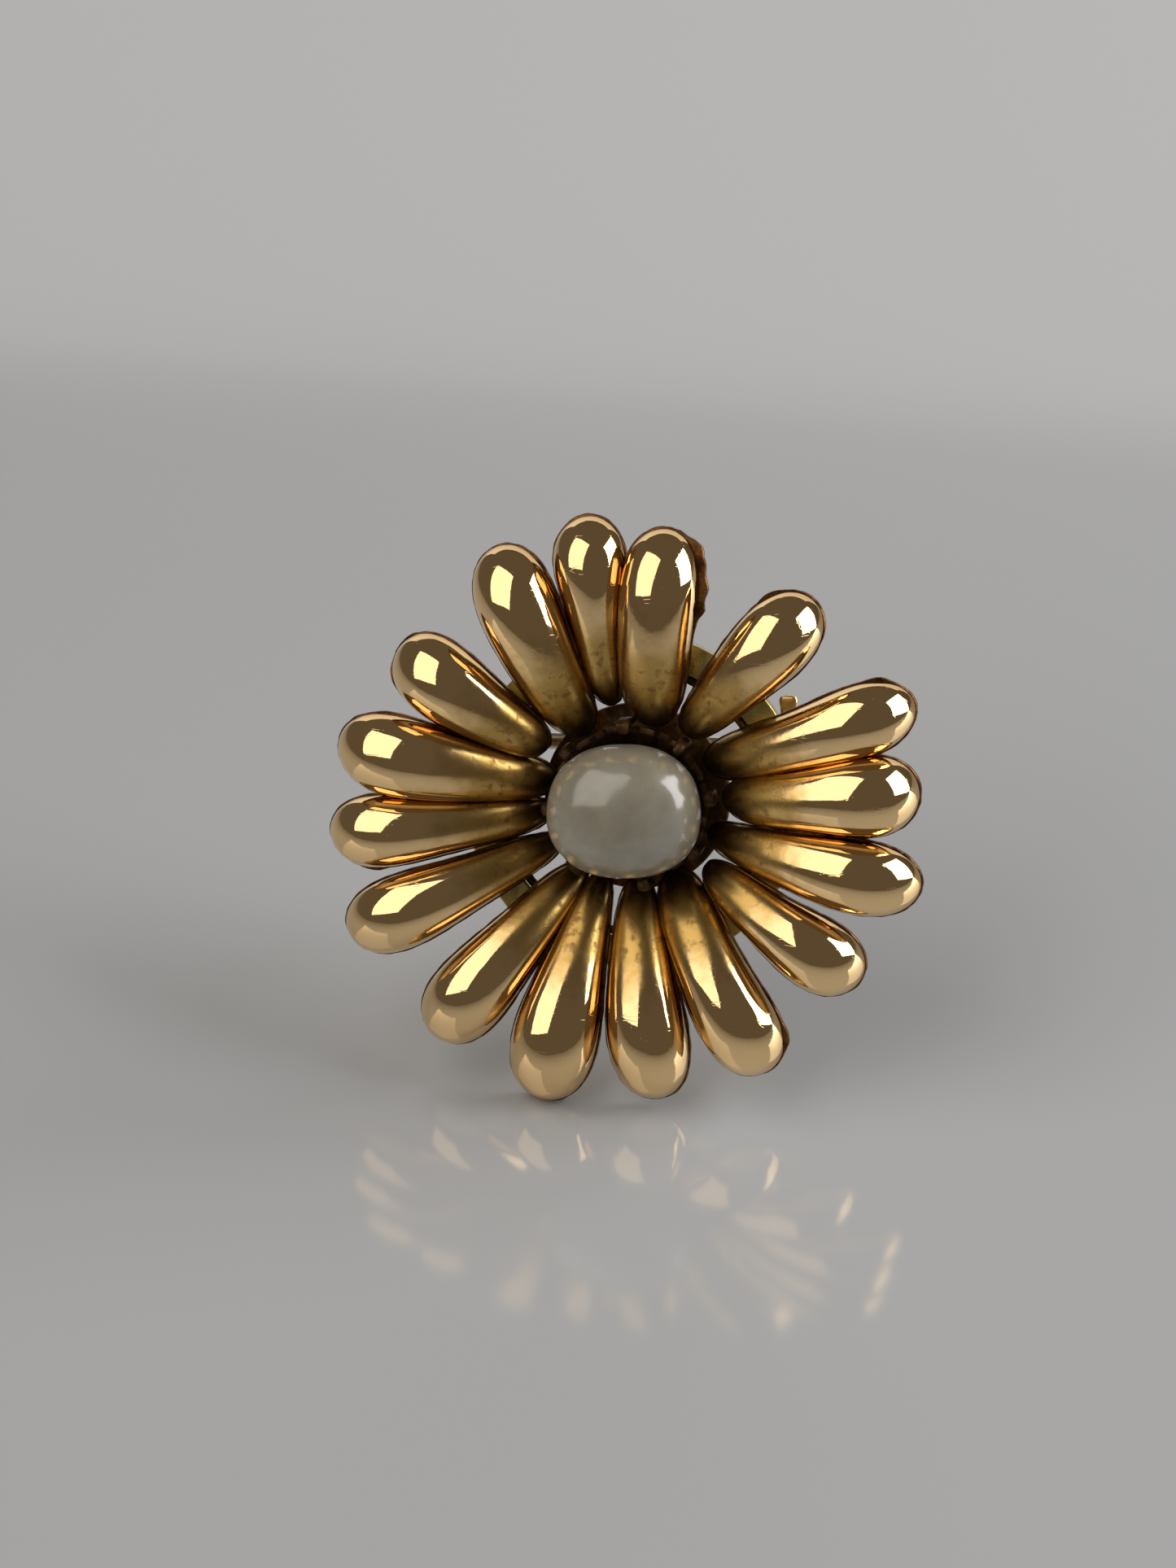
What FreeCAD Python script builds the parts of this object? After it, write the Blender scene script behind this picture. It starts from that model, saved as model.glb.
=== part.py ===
import FreeCAD, Part
import math
import os

# A flower brooch: sixteen hollow teardrop petals round a button pearl, on a ring that carries a
# hinged pin and a roll-over safety catch.
#
# Lengths are in millimetres and angles in degrees. Every piece is drawn with the flower lying on
# its back: X is to the right of the face, Y is up the face and Z comes out of the face. Z is zero
# at the middle of the pearl. stand_up() then turns the brooch as it is worn, facing -Y with +Z up,
# and puts the origin in the middle of the pin's free length.

Vector = FreeCAD.Vector

# Petals: bearing and reach of the tip, bearing and reach of the inner end, measured round the face
# from +X, and the half widths at one, two, three and four fifths of the length from the inner end.
PETALS = [
    (4.7, 13.35, 3.1, 4.42, (1.22, 1.63, 1.85, 1.85)),
    (21.5, 14.0, 27.0, 3.85, (1.17, 1.48, 1.63, 1.63)),
    (48.7, 12.77, 52.8, 4.28, (1.07, 1.41, 1.67, 1.70)),
    (82.0, 12.85, 76.5, 3.85, (1.40, 1.70, 1.76, 1.70)),
    (98.3, 13.33, 103.0, 4.71, (0.93, 1.19, 1.48, 1.65)),
    (117.3, 13.21, 127.0, 3.95, (1.30, 1.61, 1.78, 1.78)),
    (146.3, 12.68, 148.0, 4.78, (1.26, 1.59, 1.76, 1.70)),
    (168.8, 13.67, 168.7, 3.90, (1.26, 1.80, 1.98, 1.80)),
    (187.0, 14.02, 190.0, 4.14, (1.07, 1.41, 1.67, 1.67)),
    (205.9, 14.49, 210.4, 4.20, (0.93, 1.30, 1.56, 1.70)),
    (230.6, 14.28, 233.0, 4.23, (1.11, 1.44, 1.63, 1.78)),
    (253.9, 14.37, 247.5, 4.05, (1.11, 1.52, 1.85, 1.93)),
    (276.0, 13.68, 272.0, 3.95, (1.15, 1.56, 1.80, 1.80)),
    (298.1, 13.75, 297.5, 3.90, (1.33, 1.57, 1.72, 1.80)),
    (324.0, 13.2, 319.7, 4.67, (1.00, 1.30, 1.54, 1.67)),
    (346.1, 13.84, 337.0, 3.90, (0.98, 1.33, 1.61, 1.67)),
]
PETAL_INNER_END_SWELL = 1.15
PETAL_TIP_SWELL = 1.18
PETAL_SECTION_TURNS = (14, 28, 43, 58, 74, 90, 106, 122, 137, 151, 163, 172)
PETAL_GAP = 0.1
PETAL_TOP_FROM_TIP = 2.3
PETAL_ARCH_TOP = -0.35
PETAL_ARCH_BEND = 0.0585
PETAL_MOST_DROP = 2.75
PETAL_DOME_RATIO = 0.94
PETAL_WALL = 0.3
BACK_PLATE_THICKNESS = 0.3
BACK_PLATE_LIP = 0.09

# Pearl, its cup and its claws.
PEARL_HALF_WIDTH = 3.5
PEARL_HALF_HEIGHT = 3.1
PEARL_HALF_DEPTH = 2.65
CUP_RIM_RADIUS = 3.6
CUP_FOOT_RADIUS = 2.5
CUP_RIM_Z = -1.5
CUP_WALL = 0.3
CUP_NOTCHES = 14
CUP_NOTCH = 0.4
PEARL_PEG_RADIUS = 0.4
PEARL_DRILLING_DEPTH = 2.4
CLAW_BEARINGS = [6, 49, 93, 140, 184, 230, 282, 325]
CLAW_WIDTH = 0.8
CLAW_OUTER_REACH = 3.98
CLAW_STEM_THICKNESS = 0.34
CLAW_TOP_Z = -0.45
CLAW_LIP_Z = -0.85
CLAW_FOOT_Z = -2.1
CLAW_PEARL_GAP = 0.06

# Centre disc, ring behind the petals and the pegs between them.
DISC_RADIUS = 3.95
DISC_FRONT_Z = -3.45
DISC_THICKNESS = 0.45
RING_INNER_RADIUS = 6.45
RING_OUTER_RADIUS = 7.85
RING_FRONT_Z = -2.25
RING_THICKNESS = 0.65
RING_WIRE_RADIUS = 0.2
RING_WIRE_CENTRE = 6.22
PEG_RADIUS = 0.4
PEG_REACH = 7.1
PEG_BLANK_TOP_Z = -0.6

# Pin, hinge and catch.
PIN_LINE_Y = 2.2
PIN_LINE_Z = -5.35
PIN_RADIUS = 0.4
PIN_NECK_RADIUS = 0.23
PIN_NECK_START = 5.3
PIN_TAPER_START = 8.4
PIN_TIP = 10.6
PIN_TIP_RADIUS = 0.07
HINGE_X = -6.75
KNUCKLE_RADIUS = 0.78
KNUCKLE_WIDTH = 0.8
CHEEK_THICKNESS = 0.6
CHEEK_GAP = 0.05
RIVET_RADIUS = 0.3
RIVET_RUNNING_FIT = 0.04
RIVET_HEAD_RADIUS = 0.52
RIVET_HEAD = 0.18
BASE_THICKNESS = 0.4
CATCH_X = 6.75
CATCH_CHEEK_RADIUS = 1.3
CATCH_CHEEK_THICKNESS = 0.5
CATCH_CHEEK_GAP = 0.06
CATCH_BORE_RADIUS = 0.72
CATCH_MOUTH = 0.92
SLEEVE_WIDTH = 1.2
SLEEVE_RADIUS = 1.05
SLEEVE_NECK_RADIUS = 0.68
SLEEVE_BORE_RADIUS = 0.34
SLEEVE_SLOT = 0.62
LEVER_REACH = 2.45
LEVER_THICKNESS = 0.4
LEVER_WIDTH = 0.9
LEVER_ANGLE = -12

# Values worked out from the ones above.
RING_BACK_Z = RING_FRONT_Z - RING_THICKNESS
BASE_BACK_Z = RING_BACK_Z - BASE_THICKNESS
DISC_BACK_Z = DISC_FRONT_Z - DISC_THICKNESS
HINGE_HALF_WIDTH = KNUCKLE_WIDTH / 2 + CHEEK_GAP + CHEEK_THICKNESS
PIN_MIDDLE_X = (HINGE_X + CATCH_X) / 2

# Shared helpers.


def polar(bearing, reach):
    """Point on the face at a bearing and a distance from the flower's centre."""
    angle = math.radians(bearing)
    return Vector(reach * math.cos(angle), reach * math.sin(angle), 0)


def petal_line(number):
    """Inner end, length and direction of a petal's middle line."""
    tip_bearing, tip_reach, inner_bearing, inner_reach, halves = PETALS[number % len(PETALS)]
    start = polar(inner_bearing, inner_reach)
    along = polar(tip_bearing, tip_reach) - start
    return start, along.Length, along.normalize()


def petal_halves(number):
    """The four half widths, kept inside the room that the neighbours leave."""
    start, length, along = petal_line(number)
    allowed = []
    for count, wanted in enumerate(PETALS[number][4]):
        spot = start + along * (length * (count + 1) / 5)
        room = wanted
        for other in (number - 1, number + 1):
            other_start, other_length, other_along = petal_line(other)
            off = (spot - other_start).cross(other_along).Length
            room = min(room, off / 2 - PETAL_GAP / 2 - BACK_PLATE_LIP)
        allowed.append(room)
    return allowed


def arch(length):
    """Place of the highest point of a petal's rim line, and how sharply the line bends down."""
    top = length - PETAL_TOP_FROM_TIP
    return top, min(PETAL_ARCH_BEND, PETAL_MOST_DROP / top**2)


def arch_frame(along, length):
    """Point on the rim line of a petal that lies along +X from the origin, and the normal there."""
    top, bend = arch(length)
    slope = -2 * bend * (along - top)
    size = math.hypot(1, slope)
    height = PETAL_ARCH_TOP - bend * (along - top) ** 2
    return Vector(along, 0, height), Vector(-slope / size, 0, 1 / size)


def teardrop(length, halves, grow):
    """Stations (distance from the inner end, half width) of a teardrop grown outward by grow.

    The half width is a swell times the half width of an ellipse, so both ends are round.
    """
    full = length + 2 * grow
    places = [(count + 1) / 5 for count in range(4)]
    swells = [(half + grow) / math.sqrt(q * (1 - q)) for half, q in zip(halves, places)]
    places = [0] + places + [1]
    swells = [swells[0] * PETAL_INNER_END_SWELL] + swells + [swells[-1] * PETAL_TIP_SWELL]
    stations = []
    for turn in PETAL_SECTION_TURNS:
        share = (1 - math.cos(math.radians(turn))) / 2
        left = min(int(share * 5), 4)
        mix = (share - places[left]) * 5
        swell = swells[left] * (1 - mix) + swells[left + 1] * mix
        stations.append((share * full - grow, swell * math.sqrt(share * (1 - share))))
    return stations


def dome_section(station, half_width, length, sink):
    """Half ellipse standing on the petal's rim line, closed by its chord."""
    centre, up = arch_frame(station, length)
    centre = centre - up * sink
    side = Vector(0, half_width, 0)
    ellipse = Part.Ellipse(centre + side, centre + up * (half_width * PETAL_DOME_RATIO), centre)
    arc = Part.ArcOfEllipse(ellipse, 0, math.pi).toShape()
    chord = Part.makeLine(centre - side, centre + side)
    return Part.Wire([arc, chord])


def plate_section(station, half_width, length):
    """Rectangle hanging below the petal's rim line."""
    centre, up = arch_frame(station, length)
    side = Vector(0, half_width, 0)
    drop = up * BACK_PLATE_THICKNESS
    corners = [centre + side, centre - side, centre - side - drop, centre + side - drop]
    return Part.makePolygon(corners + corners[:1])


def box(low, high):
    """Box between two corners."""
    size = [high[axis] - low[axis] for axis in range(3)]
    return Part.makeBox(size[0], size[1], size[2], Vector(*low))


def cylinder(radius, start, end):
    """Cylinder between the middles of its two ends."""
    axis = Vector(*end) - Vector(*start)
    return Part.makeCylinder(radius, axis.Length, Vector(*start), axis)


def revolved(profile):
    """Solid of revolution round Z from (radius, z) corners."""
    corners = [Vector(radius, 0, z) for radius, z in profile]
    face = Part.Face(Part.makePolygon(corners + corners[:1]))
    return face.revolve(Vector(0, 0, 0), Vector(0, 0, 1), 360)


def laid(shape, number):
    """Copy of a petal piece drawn along +X, moved to its place in the flower."""
    start, length, along = petal_line(number)
    copy = turned(shape, math.degrees(math.atan2(along.y, along.x)))
    copy.translate(start)
    return copy


def turned(shape, bearing):
    """Copy of a shape turned round the flower's axis."""
    copy = shape.copy()
    copy.rotate(Vector(0, 0, 0), Vector(0, 0, 1), bearing)
    return copy


def stand_up(shape):
    """The shape as worn: facing -Y, +Z up, origin in the middle of the pin's free length."""
    worn = shape.copy()
    worn.translate(Vector(-PIN_MIDDLE_X, -PIN_LINE_Y, -PIN_LINE_Z))
    worn.rotate(Vector(0, 0, 0), Vector(1, 0, 0), 90)
    return worn


# Petals.


def petal_shell(length, halves):
    """Hollow domed front of a petal along +X, open at the back."""
    outer_sections = [dome_section(place, half, length, 0) for place, half in teardrop(length, halves, 0)]
    hollow = teardrop(length, halves, -PETAL_WALL)
    inner_sections = [dome_section(place, half, length, PETAL_WALL / 4) for place, half in hollow]
    return Part.makeLoft(outer_sections, True).cut(Part.makeLoft(inner_sections, True))


def petal_back(length, halves):
    """Sheet that closes the back of a petal and stands a little proud all round."""
    stations = teardrop(length, halves, BACK_PLATE_LIP)
    return Part.makeLoft([plate_section(place, half, length) for place, half in stations], True)


# Pearl and setting.


def pearl_reach(bearing):
    """Distance from the centre to the pearl's edge at a bearing."""
    angle = math.radians(bearing)
    return 1 / math.hypot(math.cos(angle) / PEARL_HALF_WIDTH, math.sin(angle) / PEARL_HALF_HEIGHT)


def pearl():
    """Button pearl, drilled half way through from behind."""
    stretch = FreeCAD.Matrix()
    stretch.scale(PEARL_HALF_WIDTH, PEARL_HALF_HEIGHT, PEARL_HALF_DEPTH)
    whole = Part.makeSphere(1).transformGeometry(stretch)
    drilling_end = -PEARL_HALF_DEPTH + PEARL_DRILLING_DEPTH
    return whole.cut(cylinder(PEARL_PEG_RADIUS, (0, 0, DISC_FRONT_Z), (0, 0, drilling_end)))


def pearl_cup():
    """Cone-sided dish under the pearl, its rim cut into teeth."""
    floor_z = DISC_FRONT_Z + CUP_WALL
    dish = revolved(
        [
            (0, DISC_FRONT_Z),
            (CUP_FOOT_RADIUS, DISC_FRONT_Z),
            (CUP_RIM_RADIUS, CUP_RIM_Z),
            (CUP_RIM_RADIUS - CUP_WALL, CUP_RIM_Z),
            (CUP_FOOT_RADIUS - CUP_WALL, floor_z),
            (0, floor_z),
        ]
    )
    half = CUP_NOTCH / 2
    notch = box(
        (CUP_FOOT_RADIUS, -half, CUP_RIM_Z - CUP_NOTCH),
        (CUP_RIM_RADIUS + half, half, CUP_RIM_Z + half),
    )
    for count in range(CUP_NOTCHES):
        dish = dish.cut(turned(notch, (count + 0.5) * 360 / CUP_NOTCHES))
    return dish


def pearl_peg():
    """Peg from the cup's floor into the pearl's drilling."""
    floor_z = DISC_FRONT_Z + CUP_WALL
    return cylinder(PEARL_PEG_RADIUS, (0, 0, floor_z), (0, 0, -PEARL_HALF_DEPTH + PEARL_DRILLING_DEPTH))


def pearl_claws():
    """Stub claws outside the cup, each with a lip turned in against the pearl."""
    claws = []
    half = CLAW_WIDTH / 2
    stem_face = CLAW_OUTER_REACH - CLAW_STEM_THICKNESS
    for bearing in CLAW_BEARINGS:
        lip_face = pearl_reach(bearing) + CLAW_PEARL_GAP
        stem = box((stem_face, -half, CLAW_FOOT_Z), (CLAW_OUTER_REACH, half, CLAW_TOP_Z))
        lip = box((lip_face, -half, CLAW_LIP_Z), (CLAW_OUTER_REACH, half, CLAW_TOP_Z))
        claws.append(turned(stem.fuse(lip).removeSplitter(), bearing))
    return Part.makeCompound(claws)


# Structure behind the flower.


def centre_disc():
    """Disc that carries the cup and the inner ends of the petals."""
    return cylinder(DISC_RADIUS, (0, 0, DISC_BACK_Z), (0, 0, DISC_FRONT_Z))


def back_ring():
    """Flat ring behind the petals, which carries the hinge and the catch."""
    return revolved(
        [
            (RING_INNER_RADIUS, RING_BACK_Z),
            (RING_OUTER_RADIUS, RING_BACK_Z),
            (RING_OUTER_RADIUS, RING_FRONT_Z),
            (RING_INNER_RADIUS, RING_FRONT_Z),
        ]
    )


def ring_wire():
    """Thin wire inside the ring."""
    middle_z = RING_FRONT_Z - RING_THICKNESS / 2
    return Part.makeTorus(RING_WIRE_CENTRE, RING_WIRE_RADIUS, Vector(0, 0, middle_z))


def ring_pegs(backs):
    """One short peg under each petal, from the ring to the petal's back plate."""
    pegs = []
    for number, back in enumerate(backs):
        start, length, along = petal_line(number)
        outward = start.dot(along)
        reach = -outward + math.sqrt(outward**2 + PEG_REACH**2 - start.dot(start))
        spot = start + along * reach
        blank = cylinder(PEG_RADIUS, (spot.x, spot.y, RING_FRONT_Z), (spot.x, spot.y, PEG_BLANK_TOP_Z))
        pieces = blank.cut(back).Solids
        pegs.append(min(pieces, key=lambda piece: piece.CenterOfMass.z))
    return Part.makeCompound(pegs)


# Pin, hinge and catch.


def hinge_fork():
    """Base plate with two cheeks that hold the rivet."""
    middle = PIN_LINE_Y
    fork = box(
        (HINGE_X - KNUCKLE_RADIUS, middle - HINGE_HALF_WIDTH, BASE_BACK_Z),
        (HINGE_X + KNUCKLE_RADIUS, middle + HINGE_HALF_WIDTH, RING_BACK_Z),
    )
    for side in (-1, 1):
        near = middle + side * (HINGE_HALF_WIDTH - CHEEK_THICKNESS)
        far = middle + side * HINGE_HALF_WIDTH
        leg = box(
            (HINGE_X - KNUCKLE_RADIUS, min(near, far), PIN_LINE_Z),
            (HINGE_X + KNUCKLE_RADIUS, max(near, far), BASE_BACK_Z),
        )
        eye = cylinder(KNUCKLE_RADIUS, (HINGE_X, near, PIN_LINE_Z), (HINGE_X, far, PIN_LINE_Z))
        fork = fork.fuse(leg).fuse(eye)
    bore = cylinder(
        RIVET_RADIUS,
        (HINGE_X, middle - HINGE_HALF_WIDTH - 1, PIN_LINE_Z),
        (HINGE_X, middle + HINGE_HALF_WIDTH + 1, PIN_LINE_Z),
    )
    return fork.cut(bore).removeSplitter()


def hinge_rivet():
    """Rivet through both cheeks and the pin's knuckle, with a head at each end."""
    low = PIN_LINE_Y - HINGE_HALF_WIDTH
    high = PIN_LINE_Y + HINGE_HALF_WIDTH
    shank = cylinder(RIVET_RADIUS, (HINGE_X, low, PIN_LINE_Z), (HINGE_X, high, PIN_LINE_Z))
    lower = cylinder(RIVET_HEAD_RADIUS, (HINGE_X, low - RIVET_HEAD, PIN_LINE_Z), (HINGE_X, low, PIN_LINE_Z))
    top = (HINGE_X, high + RIVET_HEAD, PIN_LINE_Z)
    upper = cylinder(RIVET_HEAD_RADIUS, (HINGE_X, high, PIN_LINE_Z), top)
    return shank.fuse(lower).fuse(upper).removeSplitter()


def pin_stem():
    """Round pin with a knuckle at the hinge, a slimmer neck for the catch and a tapered point."""
    half = KNUCKLE_WIDTH / 2
    knuckle = cylinder(
        KNUCKLE_RADIUS,
        (HINGE_X, PIN_LINE_Y - half, PIN_LINE_Z),
        (HINGE_X, PIN_LINE_Y + half, PIN_LINE_Z),
    )
    neck_start = (PIN_NECK_START, PIN_LINE_Y, PIN_LINE_Z)
    stem = cylinder(PIN_RADIUS, (HINGE_X, PIN_LINE_Y, PIN_LINE_Z), neck_start)
    neck = cylinder(
        PIN_NECK_RADIUS,
        neck_start,
        (PIN_TAPER_START, PIN_LINE_Y, PIN_LINE_Z),
    )
    point = Part.makeCone(
        PIN_NECK_RADIUS,
        PIN_TIP_RADIUS,
        PIN_TIP - PIN_TAPER_START,
        Vector(PIN_TAPER_START, PIN_LINE_Y, PIN_LINE_Z),
        Vector(1, 0, 0),
    )
    bore = cylinder(
        RIVET_RADIUS + RIVET_RUNNING_FIT,
        (HINGE_X, PIN_LINE_Y - 1, PIN_LINE_Z),
        (HINGE_X, PIN_LINE_Y + 1, PIN_LINE_Z),
    )
    return knuckle.fuse(stem).fuse(neck).fuse(point).cut(bore).removeSplitter()


def catch_housing():
    """Base plate with two cheeks, each with a bore and a mouth open to the back."""
    half_width = SLEEVE_WIDTH / 2 + CATCH_CHEEK_GAP + CATCH_CHEEK_THICKNESS
    housing = box(
        (CATCH_X - half_width, PIN_LINE_Y - CATCH_CHEEK_RADIUS, BASE_BACK_Z),
        (CATCH_X + half_width, PIN_LINE_Y + CATCH_CHEEK_RADIUS, RING_BACK_Z),
    )
    for side in (-1, 1):
        near = CATCH_X + side * (half_width - CATCH_CHEEK_THICKNESS)
        far = CATCH_X + side * half_width
        leg = box(
            (min(near, far), PIN_LINE_Y - CATCH_CHEEK_RADIUS, PIN_LINE_Z),
            (max(near, far), PIN_LINE_Y + CATCH_CHEEK_RADIUS, BASE_BACK_Z),
        )
        eye = cylinder(CATCH_CHEEK_RADIUS, (near, PIN_LINE_Y, PIN_LINE_Z), (far, PIN_LINE_Y, PIN_LINE_Z))
        housing = housing.fuse(leg).fuse(eye)
    bore = cylinder(
        CATCH_BORE_RADIUS,
        (CATCH_X - half_width - 1, PIN_LINE_Y, PIN_LINE_Z),
        (CATCH_X + half_width + 1, PIN_LINE_Y, PIN_LINE_Z),
    )
    mouth = box(
        (CATCH_X - half_width - 1, PIN_LINE_Y - CATCH_MOUTH / 2, PIN_LINE_Z - 2 * CATCH_CHEEK_RADIUS),
        (CATCH_X + half_width + 1, PIN_LINE_Y + CATCH_MOUTH / 2, PIN_LINE_Z),
    )
    return housing.cut(bore).cut(mouth).removeSplitter()


def catch_sleeve():
    """Slotted sleeve that turns round the pin, with a thumb lever; drawn with its slot open."""
    half = SLEEVE_WIDTH / 2
    neck = half + CATCH_CHEEK_GAP + CATCH_CHEEK_THICKNESS
    barrel = cylinder(
        SLEEVE_RADIUS,
        (CATCH_X - half, PIN_LINE_Y, PIN_LINE_Z),
        (CATCH_X + half, PIN_LINE_Y, PIN_LINE_Z),
    )
    necks = cylinder(
        SLEEVE_NECK_RADIUS,
        (CATCH_X - neck, PIN_LINE_Y, PIN_LINE_Z),
        (CATCH_X + neck, PIN_LINE_Y, PIN_LINE_Z),
    )
    lever = box(
        (CATCH_X - LEVER_WIDTH / 2, PIN_LINE_Y, PIN_LINE_Z - LEVER_THICKNESS / 2),
        (CATCH_X + LEVER_WIDTH / 2, PIN_LINE_Y + LEVER_REACH, PIN_LINE_Z + LEVER_THICKNESS / 2),
    )
    lever.rotate(Vector(CATCH_X, PIN_LINE_Y, PIN_LINE_Z), Vector(1, 0, 0), LEVER_ANGLE)
    bore = cylinder(
        SLEEVE_BORE_RADIUS,
        (CATCH_X - 2 * neck, PIN_LINE_Y, PIN_LINE_Z),
        (CATCH_X + 2 * neck, PIN_LINE_Y, PIN_LINE_Z),
    )
    slot = box(
        (CATCH_X - 2 * neck, PIN_LINE_Y - SLEEVE_SLOT / 2, PIN_LINE_Z - 2 * SLEEVE_RADIUS),
        (CATCH_X + 2 * neck, PIN_LINE_Y + SLEEVE_SLOT / 2, PIN_LINE_Z),
    )
    return barrel.fuse(necks).fuse(lever).cut(bore).cut(slot).removeSplitter()


# All pieces, written one file each.


def all_pieces():
    """Name and shape of every piece, as drawn."""
    pieces = {}
    backs = []
    for number in range(len(PETALS)):
        length = petal_line(number)[1]
        halves = petal_halves(number)
        back = laid(petal_back(length, halves), number)
        backs.append(back)
        pieces[f"petal_{number + 1:02d}_shell"] = laid(petal_shell(length, halves), number)
        pieces[f"petal_{number + 1:02d}_back"] = back
    pieces["pearl"] = pearl()
    pieces["pearl_cup"] = pearl_cup()
    pieces["pearl_peg"] = pearl_peg()
    pieces["pearl_claws"] = pearl_claws()
    pieces["centre_disc"] = centre_disc()
    pieces["back_ring"] = back_ring()
    pieces["ring_wire"] = ring_wire()
    pieces["ring_pegs"] = ring_pegs(backs)
    pieces["hinge_fork"] = hinge_fork()
    pieces["hinge_rivet"] = hinge_rivet()
    pieces["pin_stem"] = pin_stem()
    pieces["catch_housing"] = catch_housing()
    pieces["catch_sleeve"] = catch_sleeve()
    return pieces


def main():
    """Write one STEP file for each piece."""
    os.makedirs("parts", exist_ok=True)
    for name, shape in all_pieces().items():
        worn = stand_up(shape)
        worn.exportStep(f"parts/{name}.step")
        print(name, worn.isValid(), len(worn.Solids), round(worn.Volume, 3))


main()
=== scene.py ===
import math

import bpy
import numpy as np
from mathutils import Matrix, Vector, noise


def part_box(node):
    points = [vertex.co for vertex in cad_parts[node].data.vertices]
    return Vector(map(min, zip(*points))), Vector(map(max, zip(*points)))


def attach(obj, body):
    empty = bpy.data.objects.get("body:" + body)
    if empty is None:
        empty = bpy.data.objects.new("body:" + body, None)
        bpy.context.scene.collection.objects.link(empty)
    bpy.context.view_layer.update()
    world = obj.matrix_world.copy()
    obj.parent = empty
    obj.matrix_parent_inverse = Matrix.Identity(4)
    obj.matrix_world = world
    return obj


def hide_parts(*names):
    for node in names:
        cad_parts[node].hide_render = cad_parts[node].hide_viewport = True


bl_info = {
    "name": "Petal brooch",
    "version": (1, 0, 0),
    "blender": (4, 5, 0),
    "location": "3D View > Sidebar > Brooch",
    "description": "Puffed gold petals round a baroque pearl, with a hinged pin and a turning catch",
    "category": "Object",
}

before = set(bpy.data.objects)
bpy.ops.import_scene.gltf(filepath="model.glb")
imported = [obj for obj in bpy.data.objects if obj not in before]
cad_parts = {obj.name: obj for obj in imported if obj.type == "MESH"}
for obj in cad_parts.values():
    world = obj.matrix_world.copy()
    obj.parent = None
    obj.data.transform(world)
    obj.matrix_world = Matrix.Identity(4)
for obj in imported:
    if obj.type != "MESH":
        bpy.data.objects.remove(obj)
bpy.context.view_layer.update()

# Lengths below are millimetres on the face frame: x to the right of the face, y up it and z out of
# it, with z = 0 at the pearl's middle. place() turns them into the brooch's own frame in metres.
MM = 0.001
PIN_LINE_Z = -5.35
PETAL_COUNT = 16


def box_middle(node):
    """Middle of a node's box, in metres."""
    low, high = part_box(node)
    return (low + high) / 2


RING_LOW, RING_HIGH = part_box("back_ring")
HINGE = box_middle("hinge_rivet")
FACE = Vector(((RING_LOW.x + RING_HIGH.x) / 2, HINGE.y + PIN_LINE_Z * MM, (RING_LOW.z + RING_HIGH.z) / 2))
RING_FRONT_Z = (FACE.y - RING_LOW.y) / MM
RING_BACK_Z = (FACE.y - RING_HIGH.y) / MM
CATCH_X = box_middle("catch_housing").x


def place(points):
    """Face-frame millimetres to the brooch's frame in metres."""
    points = np.asarray(points, float).reshape(-1, 3)
    return np.column_stack((points[:, 0], -points[:, 2], points[:, 1])) * MM + np.array(FACE)


def face_point(point):
    """A point of the brooch's frame in metres to face-frame millimetres."""
    x, y, z = (Vector(point) - FACE) / MM
    return Vector((x, z, -y))


PIN_LINE = face_point(HINGE)
DISC_FRONT_Z = face_point(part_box("centre_disc")[0]).z
CATCH = Vector((face_point((CATCH_X, 0, 0)).x, PIN_LINE.y, PIN_LINE.z))


# Sizes and colours that a user would change.


def length(name, description, default):
    """A length property in metres whose default is given in millimetres."""
    return bpy.props.FloatProperty(
        name=name, description=description, default=default * MM, unit="LENGTH", precision=5, min=0
    )


def colour(name, description, default):
    """A linear colour property."""
    return bpy.props.FloatVectorProperty(
        name=name, description=description, default=default, subtype="COLOR", size=3, min=0, max=1
    )


class BroochPetals(bpy.types.PropertyGroup):
    crown: length("Crown", "Distance of a petal's highest place from its tip", 3.3)
    drop: length("Drop", "How far an inner end lies below the highest place at most", 2.75)
    dome_ratio: bpy.props.FloatProperty(
        name="Dome ratio", description="Height of a petal's dome over its half width", default=0.94
    )
    dent: length("Dent", "Depth of the soft unevenness of the hand-worked shells", 0.022)
    lip: length("Lip", "How far a back plate stands proud of its shell", 0.1)
    plate: length("Plate", "Thickness of a back plate", 0.3)
    gold: colour("Gold", "Polished gold of the petals", (0.95, 0.67, 0.34))
    # As used on the petals, this darker gold is also painted shade towards the flower's middle.
    dull_gold: colour("Dull gold", "Unpolished gold near the centre", (0.50, 0.31, 0.078))
    # Used for the real brown spots and also as painted shade low in the petals' corners.
    tarnish_and_shade: colour("Tarnish", "Brown in the corners the polish doesn't reach", (0.16, 0.07, 0.025))
    gloss: bpy.props.FloatProperty(name="Gloss roughness", description="Polished roughness", default=0.035)


class BroochPearl(bpy.types.PropertyGroup):
    width: length("Width", "Half width of the pearl", 3.5)
    height: length("Height", "Half height of the pearl", 3.1)
    depth: length("Depth", "Half depth of the pearl", 2.65)
    body: colour("Body", "Body colour of the pearl", (0.37, 0.335, 0.25))
    shade: colour("Shade", "Greyer colour in the growth lines", (0.29, 0.265, 0.20))
    cup_rim: length("Cup rim", "Radius of the cup's rim", 3.6)
    cup_foot: length("Cup foot", "Radius of the cup's foot", 2.5)
    claw_width: length("Claw width", "Width of a stub claw", 0.8)


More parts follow.
